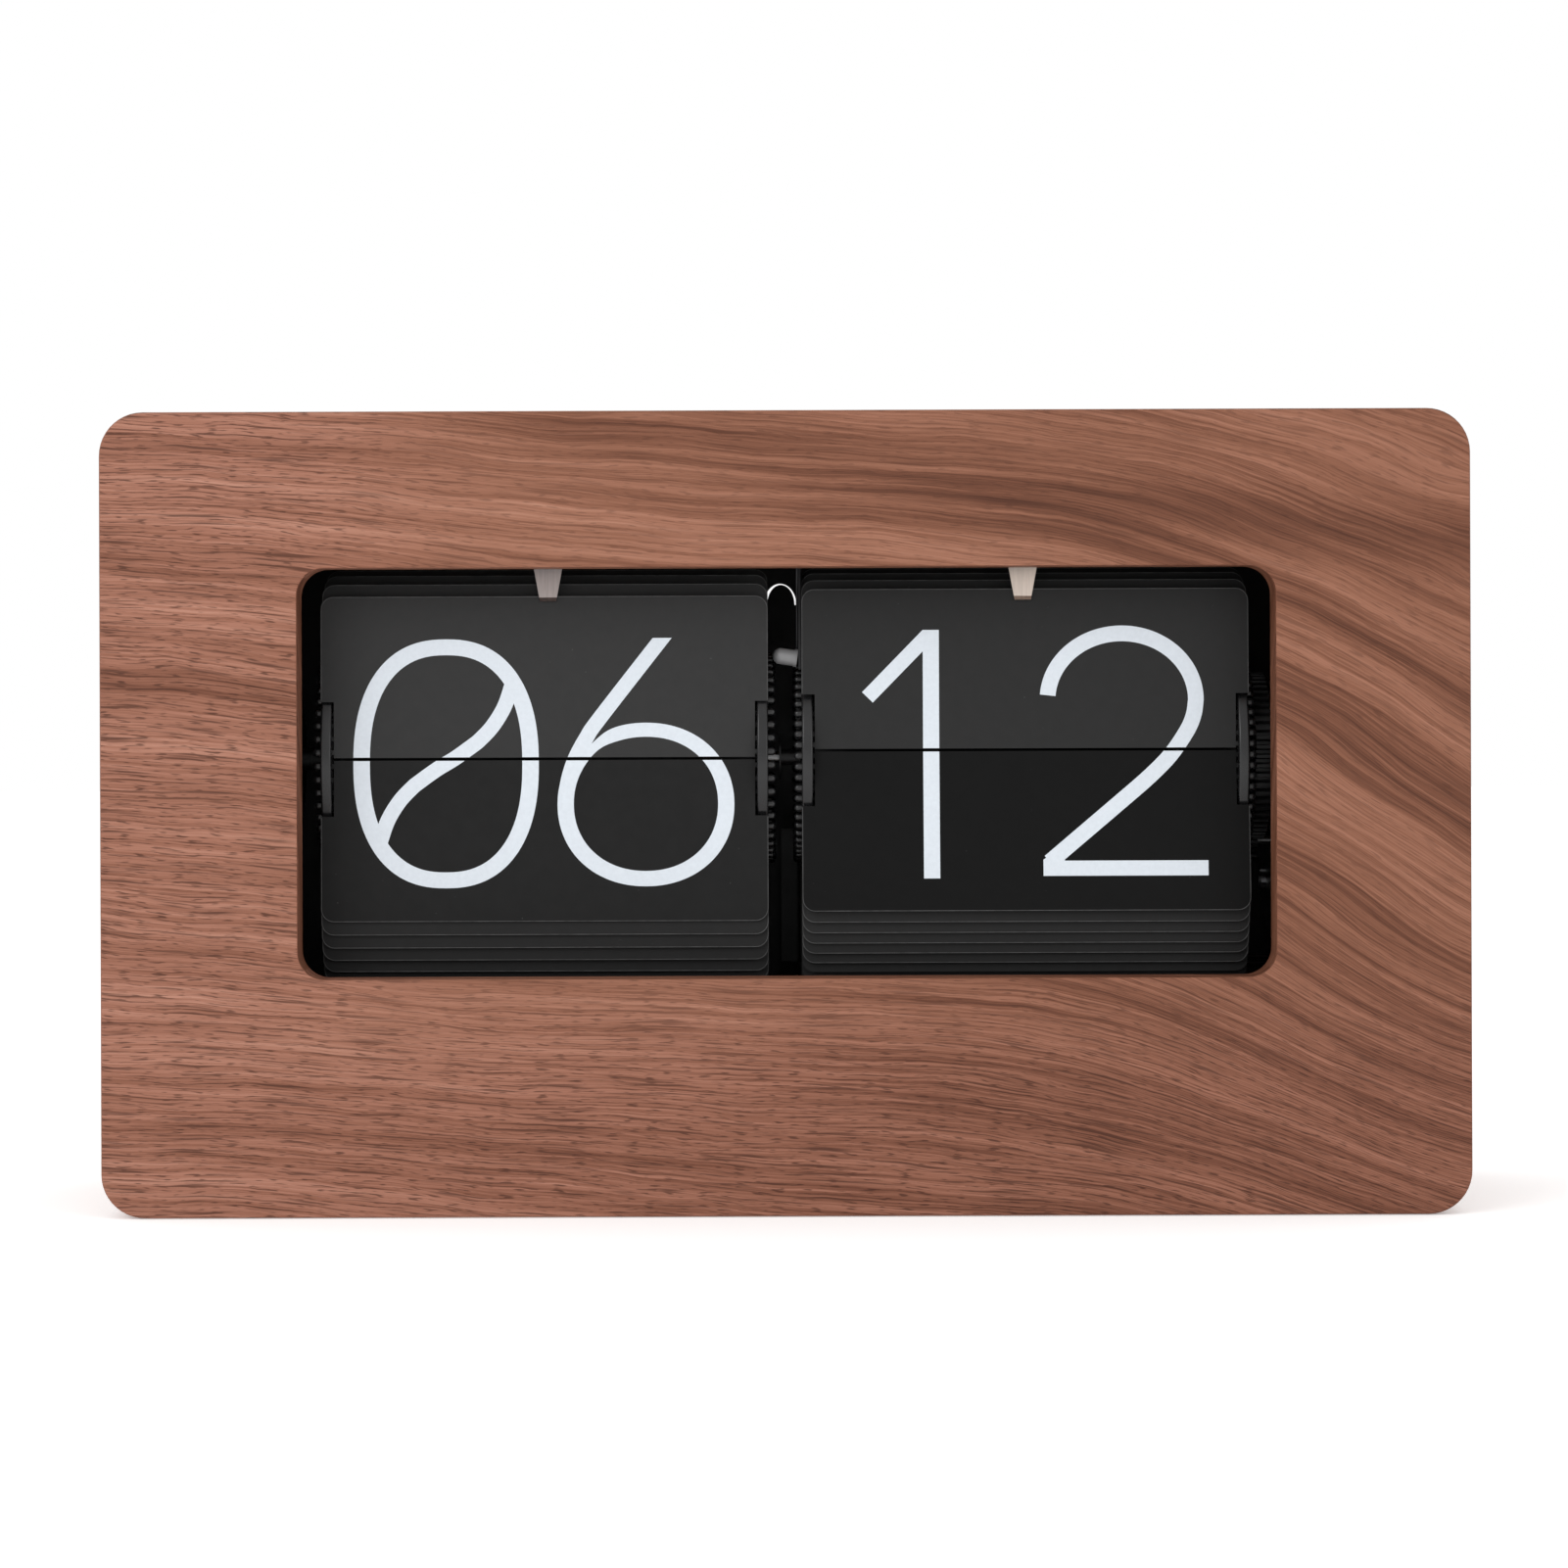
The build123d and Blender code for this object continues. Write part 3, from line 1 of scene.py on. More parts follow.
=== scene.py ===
import json
import math

import bmesh
import bpy
from mathutils import Matrix, Vector


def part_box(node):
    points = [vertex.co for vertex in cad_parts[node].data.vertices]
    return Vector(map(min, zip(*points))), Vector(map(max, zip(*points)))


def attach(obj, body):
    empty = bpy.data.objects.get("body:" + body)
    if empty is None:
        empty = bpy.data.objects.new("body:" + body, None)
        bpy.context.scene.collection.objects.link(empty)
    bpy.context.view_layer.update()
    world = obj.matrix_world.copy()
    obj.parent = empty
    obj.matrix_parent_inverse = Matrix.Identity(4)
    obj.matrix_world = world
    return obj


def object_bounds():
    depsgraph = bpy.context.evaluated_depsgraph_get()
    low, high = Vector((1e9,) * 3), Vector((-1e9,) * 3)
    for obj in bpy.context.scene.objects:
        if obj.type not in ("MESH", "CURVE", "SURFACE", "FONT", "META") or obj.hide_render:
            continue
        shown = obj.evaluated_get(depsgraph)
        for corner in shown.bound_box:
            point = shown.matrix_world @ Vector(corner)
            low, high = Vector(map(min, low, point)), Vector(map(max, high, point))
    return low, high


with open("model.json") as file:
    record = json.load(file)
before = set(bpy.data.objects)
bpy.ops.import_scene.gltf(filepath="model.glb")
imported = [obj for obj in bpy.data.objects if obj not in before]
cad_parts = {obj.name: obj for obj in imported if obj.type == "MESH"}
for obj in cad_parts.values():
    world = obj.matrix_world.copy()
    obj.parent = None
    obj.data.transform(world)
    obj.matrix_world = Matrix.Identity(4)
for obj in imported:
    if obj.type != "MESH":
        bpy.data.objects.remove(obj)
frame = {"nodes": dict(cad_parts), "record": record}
cad_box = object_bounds()
nodes = frame["nodes"]
joints = {j["name"]: j for j in frame["record"]["behaviour"]["joints"]}
scene = bpy.context.scene

MM = 0.001
WHITE = (1.0, 1.0, 1.0, 1.0)


def srgb(r, g, b):
    """Linear colour from 0-255 screen values."""
    shares = [c / 255 for c in (r, g, b)]
    return tuple(((c + 0.055) / 1.055) ** 2.4 if c > 0.04 else c / 12.92 for c in shares) + (1.0,)


# ---------------------------------------------------------------- camera

CAM_X = -6.9 * MM
CAM_Z = 131.6 * MM
CAM_BACK = 1.05
# Width of the picture at the front panel's face, and the frame's shift in shares of its width
VIEW_WIDTH = 411.357 * MM
SHIFT_X = 0.0159275
SHIFT_Y = -0.044035
ROLL = math.radians(0.2)
UPRIGHT = math.radians(90)
SENSOR = 36.0
FAR_CLIP = 20.0

front_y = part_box("front_panel")[0][1]
cam_data = bpy.data.cameras.new("camera")
cam = bpy.data.objects.new("camera", cam_data)
scene.collection.objects.link(cam)
cam.location = (CAM_X, front_y - CAM_BACK, CAM_Z)
cam.rotation_euler = (Matrix.Rotation(UPRIGHT, 4, "X") @ Matrix.Rotation(-ROLL, 4, "Z")).to_euler()
cam_data.sensor_width = SENSOR
cam_data.lens = CAM_BACK / VIEW_WIDTH * SENSOR
cam_data.shift_x = SHIFT_X
cam_data.shift_y = SHIFT_Y
cam_data.clip_end = FAR_CLIP
scene.camera = cam
scene.view_settings.view_transform = "Standard"

# ---------------------------------------------------------------- light

LIGHT_AIM = (0, 0, 0.1)
LIGHT_SIZE = 0.8

world = bpy.data.worlds.new("studio")
scene.world = world
world.use_nodes = True
backdrop = world.node_tree.nodes["Background"]
backdrop.inputs["Color"].default_value = WHITE
backdrop.inputs["Strength"].default_value = 1.0


def area_light(name, place, watts):
    """Square soft box that faces the clock."""
    data = bpy.data.lights.new(name, "AREA")
    data.shape = "RECTANGLE"
    data.size = data.size_y = LIGHT_SIZE
    data.energy = watts
    light = bpy.data.objects.new(name, data)
    scene.collection.objects.link(light)
    light.location = place
    light.rotation_euler = (Vector(LIGHT_AIM) - Vector(place)).to_track_quat("-Z", "Y").to_euler()


area_light("key", (-0.9, -1.3, 0.9), 7)
area_light("fill", (1.0, -1.4, 0.5), 2)

# ---------------------------------------------------------------- material tools


class Shader:
    """A node material, built in a few words."""

    def __init__(self, name):
        self.mat = bpy.data.materials.new(name)
        self.mat.use_nodes = True
        self.tree = self.mat.node_tree
        self.bsdf = self.tree.nodes["Principled BSDF"]
        self.coord = self.tree.nodes.new("ShaderNodeTexCoord")

    def put(self, socket, value):
        if isinstance(value, bpy.types.NodeSocket):
            self.tree.links.new(value, socket)
        else:
            socket.default_value = value

    def node(self, kind, inputs=None, **props):
        n = self.tree.nodes.new(kind)
        for key, value in props.items():
            setattr(n, key, value)
        for key, value in (inputs or {}).items():
            self.put(n.inputs[key], value)
        return n

    def points(self, scale=(1, 1, 1)):
        """Object coordinates in millimetres, then scaled."""
        n = self.node("ShaderNodeMapping", {"Vector": self.coord.outputs["Object"]})
        n.inputs["Scale"].default_value = [k / MM for k in scale]
        return n.outputs["Vector"]

    def noise(self, vec, scale=1.0, detail=2.0, rough=0.5):
        wanted = {"Vector": vec, "Scale": scale, "Detail": detail, "Roughness": rough}
        return self.node("ShaderNodeTexNoise", wanted).outputs["Fac"]

    def math(self, op, a, b=0.0):
        return self.node("ShaderNodeMath", {0: a, 1: b}, operation=op).outputs[0]

    def mul(self, a, b):
        return self.math("MULTIPLY", a, b)

    def add(self, a, b):
        return self.math("ADD", a, b)

    def ease(self, a, low, high):
        """0 up to low, 1 from high on, smooth between."""
        n = self.node("ShaderNodeMapRange", {"Value": a, "From Min": low, "From Max": high},
                      interpolation_type="SMOOTHSTEP")
        return n.outputs["Result"]

    def hump(self, a, centre, half):
        """1 at the centre, falling smoothly to 0 at half away."""
        return self.ease(self.math("ABSOLUTE", self.add(a, -centre)), half, 0.0)

    def ramp(self, fac, stops):
        """Colour ramp from pairs of place and colour."""
        n = self.node("ShaderNodeValToRGB", {"Fac": fac})
        while len(n.color_ramp.elements) < len(stops):
            n.color_ramp.elements.new(0.5)
        for element, (at, colour) in zip(n.color_ramp.elements, stops):
            element.position = at
            element.color = colour
        return n.outputs["Color"]

    def grey(self, fac, *stops):
        """Ramp between greys, given as pairs of place and value."""
        return self.ramp(fac, [(at, (v, v, v, 1.0)) for at, v in stops])

    def mix(self, fac, a, b, blend="MIX"):
        n = self.node("ShaderNodeMix", data_type="RGBA", blend_type=blend)
        self.put(n.inputs[0], fac)
        self.put(n.inputs[6], a)
        self.put(n.inputs[7], b)
        return n.outputs[2]

    def split(self, vec):
        n = self.node("ShaderNodeSeparateXYZ", {"Vector": vec})
        return n.outputs["X"], n.outputs["Y"], n.outputs["Z"]

    def join(self, x, y, z):
        n = self.node("ShaderNodeCombineXYZ", {"X": x, "Y": y, "Z": z})
        return n.outputs["Vector"]

    def bump(self, height, strength=0.3, distance=0.1 * MM):
        n = self.node("ShaderNodeBump", {"Height": height, "Strength": strength, "Distance": distance})
        self.put(self.bsdf.inputs["Normal"], n.outputs["Normal"])

    def set(self, **values):
        """Set sockets of the main shader; an underscore stands for a space."""
        for key, value in values.items():
            self.put(self.bsdf.inputs[key.replace("_", " ")], value)


def shaded(colour, gain, lift=0.0):
    """The same colour, lighter or darker."""
    return tuple(min(1.0, c * gain + lift) for c in colour[:3]) + (1.0,)


def paint(material, *names):
    """Give CAD nodes a finished material."""
    for name in names:
        obj = nodes[name]
        if not obj.material_slots:
            obj.data.materials.append(material)
        for mat_slot in obj.material_slots:
            mat_slot.material = material


# ---------------------------------------------------------------- walnut

GLOSS_LIFT = 0.014
LIGHT_GAIN = 1.105
DARKEST = 0.0015
FACE_ON = 0.72
MID_Z = 120.0
SIDE_BOARD_X = 170.0


def seen(r, g, b):
    """Surface colour that comes out as this screen value under the studio light."""
    return tuple(max(DARKEST, (c - GLOSS_LIFT) / LIGHT_GAIN) for c in srgb(r, g, b)[:3]) + (1.0,)


def board_plane(s, boards):
    """Place on the sheet, along and across the clock's front, in millimetres.

    The sheet wraps the case: its grain runs along the top and on down the sides. With
    boards, faces that look back show the edges of four boards, the upright ones outside.
    """
    x, y, z = s.split(s.points())
    nx, ny, _ = s.split(s.node("ShaderNodeNewGeometry").outputs["True Normal"])
    side = s.math("GREATER_THAN", s.math("ABSOLUTE", nx), FACE_ON)
    facing = s.math("GREATER_THAN", s.math("ABSOLUTE", ny), FACE_ON)
    skin = s.mix(side, s.join(x, y, 0.0), s.join(z, y, 0.0))
    flat = s.join(x, s.add(z, -MID_Z), 0.0)
    if boards:
        upright = s.math("GREATER_THAN", s.math("ABSOLUTE", x), SIDE_BOARD_X)
        flat = s.mix(upright, flat, s.join(z, x, 0.0))
    along, across, _ = s.split(s.mix(facing, skin, flat))
    return along, s.add(across, MID_Z)


def walnut(name, boards):
    """Walnut veneer: straight and porous on the left and low, arched figure sweeping down right."""
    s = Shader(name)
    mul, add, ease, hump = s.mul, s.add, s.ease, s.hump
    x, z = board_plane(s, boards)

    def grain(fx, fu, u, seed, detail, rough=0.55):
        """Noise stretched along the grain; fx and fu are its rates along and across it."""
        return s.noise(s.join(mul(x, fx), seed, mul(u, fu)), 1.0, detail, rough)

    # u counts growth rings: they wander, slope gently, and dive on the right at mid height
    low_left = s.math("MAXIMUM", ease(x, -60.0, -150.0), ease(z, 75.0, 30.0))
    wander = mul(add(s.noise(s.join(mul(x, 0.0045), 2.0, mul(z, 0.011)), 1.0, 2), -0.5),
                 add(mul(low_left, -14.0), 30.0))
    reach = ease(x, 20.0, 215.0)
    dive = mul(mul(mul(reach, reach), hump(z, 85.0, 175.0)), 58.0)
    u = add(add(z, wander), add(dive, mul(x, 0.075)))
    ripple = mul(add(grain(0.03, 0.10, u, 11.0, 2), -0.5), 3.2)
    u = add(u, ripple)

    # Tone from broad bands down to single fibres
    bands = grain(0.0016, 0.052, u, 7.0, 3)
    mid = grain(0.0045, 0.40, u, 3.0, 5)
    fibre = grain(0.0105, 1.3, u, 1.0, 4, 0.68)
    hair = grain(0.03, 2.6, u, 13.0, 2, 0.6)
    fine = add(mul(fibre, 0.62), mul(hair, 0.38))
    broad = add(mul(bands, 0.52), mul(mid, 0.48))
    share = add(mul(low_left, 0.14), 0.38)
    tone = add(mul(fine, share), mul(broad, s.math("SUBTRACT", 1.0, share)))

    # Broad dark band from the top's middle down to the right, a pale one from the upper left
    dark_band = mul(hump(add(z, mul(x, 0.135)), 199.5, 13.0), ease(x, -125.0, -50.0))
    pale_band = mul(hump(add(z, mul(x, 0.074)), 171.9, 5.0), ease(x, 40.0, -60.0))
    tone = add(tone, add(mul(dark_band, -0.075), mul(pale_band, 0.045)))
    # Lighter towards the left, darker towards the right.
    tone = add(tone, add(mul(ease(x, -150.0, 150.0), -0.070), 0.012))
    base = s.ramp(tone, [
        (0.330, seen(84, 54, 43)), (0.405, seen(112, 73, 57)), (0.465, seen(136, 92, 73)),
        (0.530, seen(156, 109, 89)), (0.600, seen(175, 128, 107)), (0.680, seen(192, 146, 124)),
    ])
    base = s.mix(mul(low_left, 0.35), base, s.mix(1.0, base, (1.04, 0.98, 1.12, 1.0), "MULTIPLY"))

    # Pores: short dark dashes along the grain, thick on the left and low down
    dash = s.grey(grain(0.042, 1.55, u, 5.0, 2, 0.5), (0.34, 1.0), (0.46, 0.0))
    short = s.grey(grain(0.21, 2.3, u, 9.0, 1, 0.5), (0.33, 1.0), (0.43, 0.0))
    pores = s.math("MAXIMUM", dash, short)
    depth = add(mul(low_left, 0.40), 0.34)
    base = s.mix(mul(pores, depth), base, seen(70, 45, 37))
    s.set(Base_Color=base, Specular_IOR_Level=0.22)
    s.set(Roughness=s.grey(fibre, (0.3, 0.60), (0.7, 0.48)))
    s.bump(add(mul(pores, -0.8), mul(fibre, 0.5)), 0.4, 0.08 * MM)
    return s.mat


paint(walnut("walnut_front", False), "front_panel")
paint(walnut("walnut_wrap", True), "case_shell")


# ---------------------------------------------------------------- plastics and metals

def plastic(name, colour, rough, grain=9.0, strength=0.12, specular=0.4):
    """Moulded plastic: fine spark texture, faint cloudiness and slightly polished patches."""
    s = Shader(name)
    vec = s.points()
    cloud = s.noise(vec, 0.08, 3, 0.6)
    spark = s.noise(vec, grain, 2, 0.5)
    s.set(Base_Color=s.ramp(cloud, [(0.3, shaded(colour, 0.82)), (0.7, shaded(colour, 1.18, 0.002))]))
    s.set(Roughness=s.grey(cloud, (0.3, rough - 0.07), (0.7, rough + 0.06)))
    s.set(Specular_IOR_Level=specular)
    s.bump(spark, strength, 0.03 * MM)
    return s.mat


def metal(name, colour, rough, brush=(0.05, 4.0, 4.0)):
    """Rolled or turned metal with brush lines and handling marks."""
    s = Shader(name)
    lines = s.noise(s.points(scale=brush), 1.0, 3, 0.6)
    cloud = s.noise(s.points(), 0.15, 3, 0.6)
    wear = s.add(s.mul(lines, 0.7), s.mul(cloud, 0.3))
    s.set(Base_Color=s.ramp(wear, [(0.35, shaded(colour, 0.8)), (0.65, colour)]))
    s.set(Metallic=1.0, Anisotropic=0.3)
    s.set(Roughness=s.grey(cloud, (0.3, rough - 0.06), (0.7, rough + 0.08)))
    s.bump(lines, 0.15, 0.02 * MM)
    return s.mat


TURNED = (4.0, 0.5, 0.5)
DRAWN = (3.0, 0.3, 0.12)

paint(plastic("black_moulding", srgb(24, 24, 26), 0.5),
      "back_cover", "battery_box", "battery_door", "motor_housing", "motor_cover",
      "centre_post", "lamp_bracket")
paint(plastic("gear_acetal", srgb(17, 17, 18), 0.42, 14.0, 0.08),
      "minute_gear", "set_wheel", "hour_gear", "lay_gear", "axle_pinion", "motor_pinion",
      "minute_drum_core", "hour_drum_core")
paint(plastic("flange_grey", srgb(21, 21, 22), 0.26, 12.0, 0.06, 0.45),
      "minute_flange_inner", "minute_flange_outer", "hour_flange_inner", "hour_flange_outer")
paint(metal("zinc_steel", srgb(176, 176, 178), 0.34),
      "chassis_base", "left_end_plate", "right_end_plate", "clip_rail", "cover_screws",
      "chassis_screws", "rail_screws", "motor_screws", "retaining_rings", "battery_contacts",
      "door_hinge_pin")
paint(metal("ground_steel", srgb(150, 150, 150), 0.28, TURNED), "main_axle", "wheel_studs", "motor_shaft")
# The two clips are the same steel: the hour clip's colour is darkened as painted shade, the minute clip's
# lightened as painted light.
paint(metal("clip_steel_hour_painted_shade", srgb(158, 148, 145), 0.38, DRAWN), "hour_clip")
paint(metal("clip_steel_minute_painted_light", srgb(204, 190, 179), 0.34, DRAWN), "minute_clip")
paint(plastic("wire_sleeve", srgb(40, 21, 20), 0.4, 6.0, 0.05, 0.4), "battery_wires")
paint(plastic("lead_sleeve", srgb(26, 26, 28), 0.45, 6.0, 0.05, 0.4), "lamp_leads")
paint(metal("bearing_brass", srgb(190, 152, 86), 0.3, TURNED), "axle_bushings")
paint(plastic("collar_black", srgb(30, 30, 31), 0.4, 6.0, 0.05, 0.4), "axle_collars")
paint(plastic("coil_lacquer", srgb(150, 78, 40), 0.35, 6.0, 0.2), "motor_coil")
paint(plastic("cell_wrap", srgb(52, 54, 60), 0.25, 6.0, 0.04, 0.5), "battery")
paint(plastic("pine_block", srgb(196, 160, 118), 0.6, 1.5, 0.3), "corner_blocks")
paint(plastic("lamp_resin", srgb(128, 128, 129), 0.34, 5.0, 0.1, 0.6), "lamp")


# ---------------------------------------------------------------- leaves

EDGE_FACING = 0.6
EDGE_HIGHLIGHT_LIFT = 30


def leaf_material(name, shade, specular):
    """Matt black sheet with faint mottling and dust; its cut edges are painted lighter as a painted
    highlight.
    """
    s = Shader(name)
    vec = s.points()
    ny = s.split(s.coord.outputs["Normal"])[1]
    is_edge = s.math("LESS_THAN", s.math("ABSOLUTE", ny), EDGE_FACING)
    mottle = s.noise(vec, 0.25, 4, 0.6)
    speck = s.noise(vec, 1.1, 1, 0.4)
    face = srgb(shade, shade, shade)[0]
    sheet = s.grey(mottle, (0.35, face * 0.90), (0.65, face * 1.12))
    dust = s.grey(speck, (0.80, 0.0), (0.86, 1.0))
    sheet = s.mix(s.mul(dust, 0.08), sheet, (0.4, 0.4, 0.4, 1.0))
    # The cut edges get a painted highlight: their colour is lifted above the face's.
    edge = srgb(*[shade + EDGE_HIGHLIGHT_LIFT] * 3)
    s.set(Base_Color=s.mix(is_edge, sheet, edge))
    s.set(Roughness=s.grey(mottle, (0.3, 0.58), (0.7, 0.66)))
    s.set(Specular_IOR_Level=specular)
    s.bump(s.noise(vec, 6.0, 2, 0.5), 0.12, 0.02 * MM)
    return s.mat


# All the leaves are one matt black sheet. These copies differ in shade and specular only as painted light
# and shade: the upper leaves are lighter, the lower leaves darker, the hour drum's lighter than the
# minute drum's, and the hanging stacks lighter than the lower leaves.
paint(leaf_material("sheet_hour_upper_painted_light", 36, 0.3), "hour_flip_leaf", "hour_upper_stack")
paint(leaf_material("sheet_minute_upper_painted_light", 30, 0.24), "minute_flip_leaf", "minute_upper_stack")
paint(leaf_material("sheet_hour_lower_painted_shade", 26, 0.13), "hour_lower_leaf")
paint(leaf_material("sheet_minute_lower_painted_shade", 15, 0.09), "minute_lower_leaf")
paint(leaf_material("sheet_hanging_painted_light", 31, 0.18), "hour_lower_stack", "minute_lower_stack")


# ---------------------------------------------------------------- printed digits
# Digits are drawn in the front plane in the frame's millimetres, X right and Z up, joined,
# cut at the leaf's foot, and laid on the leaf as a thin skin of ink. Each digit's function
# takes the X of its middle and gives its bands and the height of a flat top cut, if any.

LEAF_HALF = 0.1 * MM
INK_T = 0.03
INK_OFF = 0.012
STROKE = 4.2
THIN_STROKE = 4.0
DIGIT_LOW = 80.0
DIGIT_HIGH = 165.0


def arc(cx, cz, rx, rz, a0, a1, steps=48, power=2.0):
    """Points along a superellipse from angle a0 to a1, in degrees."""
    out = []
    for i in range(steps + 1):
        a = math.radians(a0 + (a1 - a0) * i / steps)
        c, d = math.cos(a), math.sin(a)
        out.append((cx + rx * math.copysign(abs(c) ** (2 / power), c),
                    cz + rz * math.copysign(abs(d) ** (2 / power), d)))
    return out


def smooth(points, steps=12):
    """Catmull-Rom curve through a few points."""
    pts = [Vector(p) for p in points]
    pts = [2 * pts[0] - pts[1]] + pts + [2 * pts[-1] - pts[-2]]
    out = []
    for i in range(1, len(pts) - 2):
        for k in range(steps):
            t = k / steps
            p0, p1, p2, p3 = pts[i - 1:i + 3]
            out.append(0.5 * ((2 * p1) + (p2 - p0) * t + (2 * p0 - 5 * p1 + 4 * p2 - p3) * t * t
                              + (3 * p1 - p0 - 3 * p2 + p3) * t ** 3))
    out.append(pts[-2])
    return [tuple(p) for p in out]


def stroke(points, width):
    """Band of even width along a line; its ends are cut square."""
    pts = [Vector(p) for p in points]
    last = len(pts) - 1
    left, right = [], []
    for i, p in enumerate(pts):
        along = (pts[min(i + 1, last)] - pts[max(i - 1, 0)]).normalized()
        side = Vector((-along.y, along.x)) * width / 2
        left.append(p + side)
        right.append(p - side)
    return left, right, False


def ring(outer, inner):
    """Closed band between two curves with equal numbers of points."""
    return [Vector(p) for p in outer], [Vector(p) for p in inner], True


def block(corners):
    """Four-cornered patch."""
    a, b, c, d = [Vector(p) for p in corners]
    return [a, d], [b, c], False


def zero(cx):
    """Slashed zero: the slash is an S from the ring's upper right to its lower left."""
    cz = 118.84
    outer = arc(cx, cz, 24.79, 33.27, 0, 360, 120, 2.35)[:-1]
    inner = arc(cx, cz, 20.37, 29.02, 0, 360, 120, 2.4)[:-1]
    half = [(2.78, 1.7), (7.17, 4.85), (9.1, 6.42), (12.48, 10.05), (15.67, 15.31), (17.9, 21.8)]
    slash = [(-px, -pz) for px, pz in reversed(half)] + [(0.0, 0.0)] + half
    slash = smooth([(cx + px, cz + pz) for px, pz in slash], 8)
    return [ring(outer, inner), stroke(slash, THIN_STROKE)], None


def six(cx):
    """The bowl thins towards the upper left, where it runs into the stem."""
    middle = 108.0

    def tuck(points, depth, at, spread):
        """Push the bowl's upper half down around one place."""
        out = []
        for px, pz in points:
            push = depth * math.exp(-(((px - cx) - at) / spread) ** 2)
            out.append((px, pz - push if pz > middle else pz))
        return out

    outer = tuck(arc(cx, 107.78, 23.63, 21.86, 0, 360, 120, 2.1)[:-1], 1.5, -15.5, 3.8)
    inner = tuck(arc(cx, 107.95, 19.28, 17.93, 0, 360, 120, 2.12)[:-1], -0.5, -12.5, 3.5)
    stem = [(cx + 8.6, 157.5), (cx + 4.5, 152.35), (cx - 12.2, 131.0), (cx - 15.8, 125.8),
            (cx - 19.1, 119.6), (cx - 21.0, 113.2), (cx - 21.5, 107.7)]
    return [ring(outer, inner), stroke(smooth(stem, 8), THIN_STROKE)], 152.3


def one(cx):
    """Upright with a slanted flag, both cut level at the top."""
    flag = [(cx - 17.0, 136.2), (cx + 0.7, 154.27)]
    return [stroke([(cx, 157.0), (cx, 87.7)], 4.33), stroke(flag, THIN_STROKE)], 154.2


def two(cx):
    """Round top, a swept diagonal and a flat foot with a filled heel."""
    top = arc(cx, 135.35, 19.83, 17.75, 176, 0, 60)
    sweep = [(19.35, 131.8), (18.1, 128.3), (15.5, 124.0), (12.9, 120.5), (10.0, 117.4), (5.7, 113.4),
             (-0.4, 108.2), (-19.6, 92.0)]
    bend = smooth([top[-1]] + [(cx + px, pz) for px, pz in sweep], 6)
    heel = block([(cx - 21.3, 88.3), (cx - 21.3, 92.6), (cx - 17.4, 95.4), (cx - 13.0, 88.3)])
    foot = stroke([(cx - 21.3, 90.3), (cx + 22.7, 90.3)], 4.05)
    return [stroke(top[:-1] + bend, STROKE), foot, heel], None


def seven(cx):
    """Bar and a straight diagonal."""
    return [stroke([(cx - 20.5, 150.1), (cx + 20.5, 150.1)], STROKE),
            stroke([(cx + 19.4, 151.6), (cx - 9.5, 87.7)], 4.1)], None


def three(cx):
    """Two open bowls that meet in the middle."""
    high = arc(cx - 1.5, 137.45, 17.6, 15.05, 160, -90, 40)
    low = arc(cx - 2.0, 105.15, 21.0, 17.1, 90, -160, 44)
    return [stroke(high, STROKE), stroke(low, STROKE)], None


def band_solid(bm, left, right, closed):
    """Slab two units thick over a band."""
    rows = [[[bm.verts.new((v.x, h, v.y)) for v in line] for line in (left, right)]
            for h in (-1.0, 1.0)]
    (l0, r0), (l1, r1) = rows
    n = len(left)
    for i in range(n if closed else n - 1):
        j = (i + 1) % n
        bm.faces.new((l0[i], l0[j], r0[j], r0[i]))
        bm.faces.new((l1[i], r1[i], r1[j], l1[j]))
        bm.faces.new((l0[i], l1[i], l1[j], l0[j]))
        bm.faces.new((r0[i], r0[j], r1[j], r1[i]))
    if not closed:
        for i in (0, n - 1):
            bm.faces.new((l0[i], r0[i], r1[i], l1[i]))
    bmesh.ops.recalc_face_normals(bm, faces=bm.faces)


def trim(bm, at, up):
    """Cut away what lies above (up 1) or below (up -1) a height, and close the cut."""
    geom = bm.verts[:] + bm.edges[:] + bm.faces[:]
    cut = bmesh.ops.bisect_plane(bm, geom=geom, plane_co=(0, 0, at), plane_no=(0, 0, up),
                                 clear_outer=True)
    rim = [e for e in cut["geom_cut"] if isinstance(e, bmesh.types.BMEdge)]
    if rim:
        bmesh.ops.holes_fill(bm, edges=rim, sides=0)


def mesh_from(name, bm):
    """Named mesh out of a working mesh, which is freed."""
    mesh = bpy.data.meshes.new(name)
    bm.to_mesh(mesh)
    bm.free()
    return mesh


def digits_mesh(name, glyphs, z_low, z_high):
    """Union of the glyphs' bands, cut to the strip between z_low and z_high."""
    pieces = []
    for bands, top in glyphs:
        for left, right, closed in bands:
            bm = bmesh.new()
            band_solid(bm, left, right, closed)
            if top is not None:
                trim(bm, top, 1)
            obj = bpy.data.objects.new("stroke", mesh_from("stroke", bm))
            scene.collection.objects.link(obj)
            pieces.append(obj)
    base = pieces[0]
    for other in pieces[1:]:
        mod = base.modifiers.new("join", "BOOLEAN")
        mod.operation = "UNION"
        mod.solver = "EXACT"
        mod.object = other
    bpy.context.view_layer.update()
    graph = bpy.context.evaluated_depsgraph_get()
    joined = bpy.data.meshes.new_from_object(base.evaluated_get(graph))
    for obj in pieces:
        mesh = obj.data
        bpy.data.objects.remove(obj)
        bpy.data.meshes.remove(mesh)
    bm = bmesh.new()
    bm.from_mesh(joined)
    bpy.data.meshes.remove(joined)
    trim(bm, z_low, -1)
    trim(bm, z_high, 1)
    return mesh_from(name, bm)


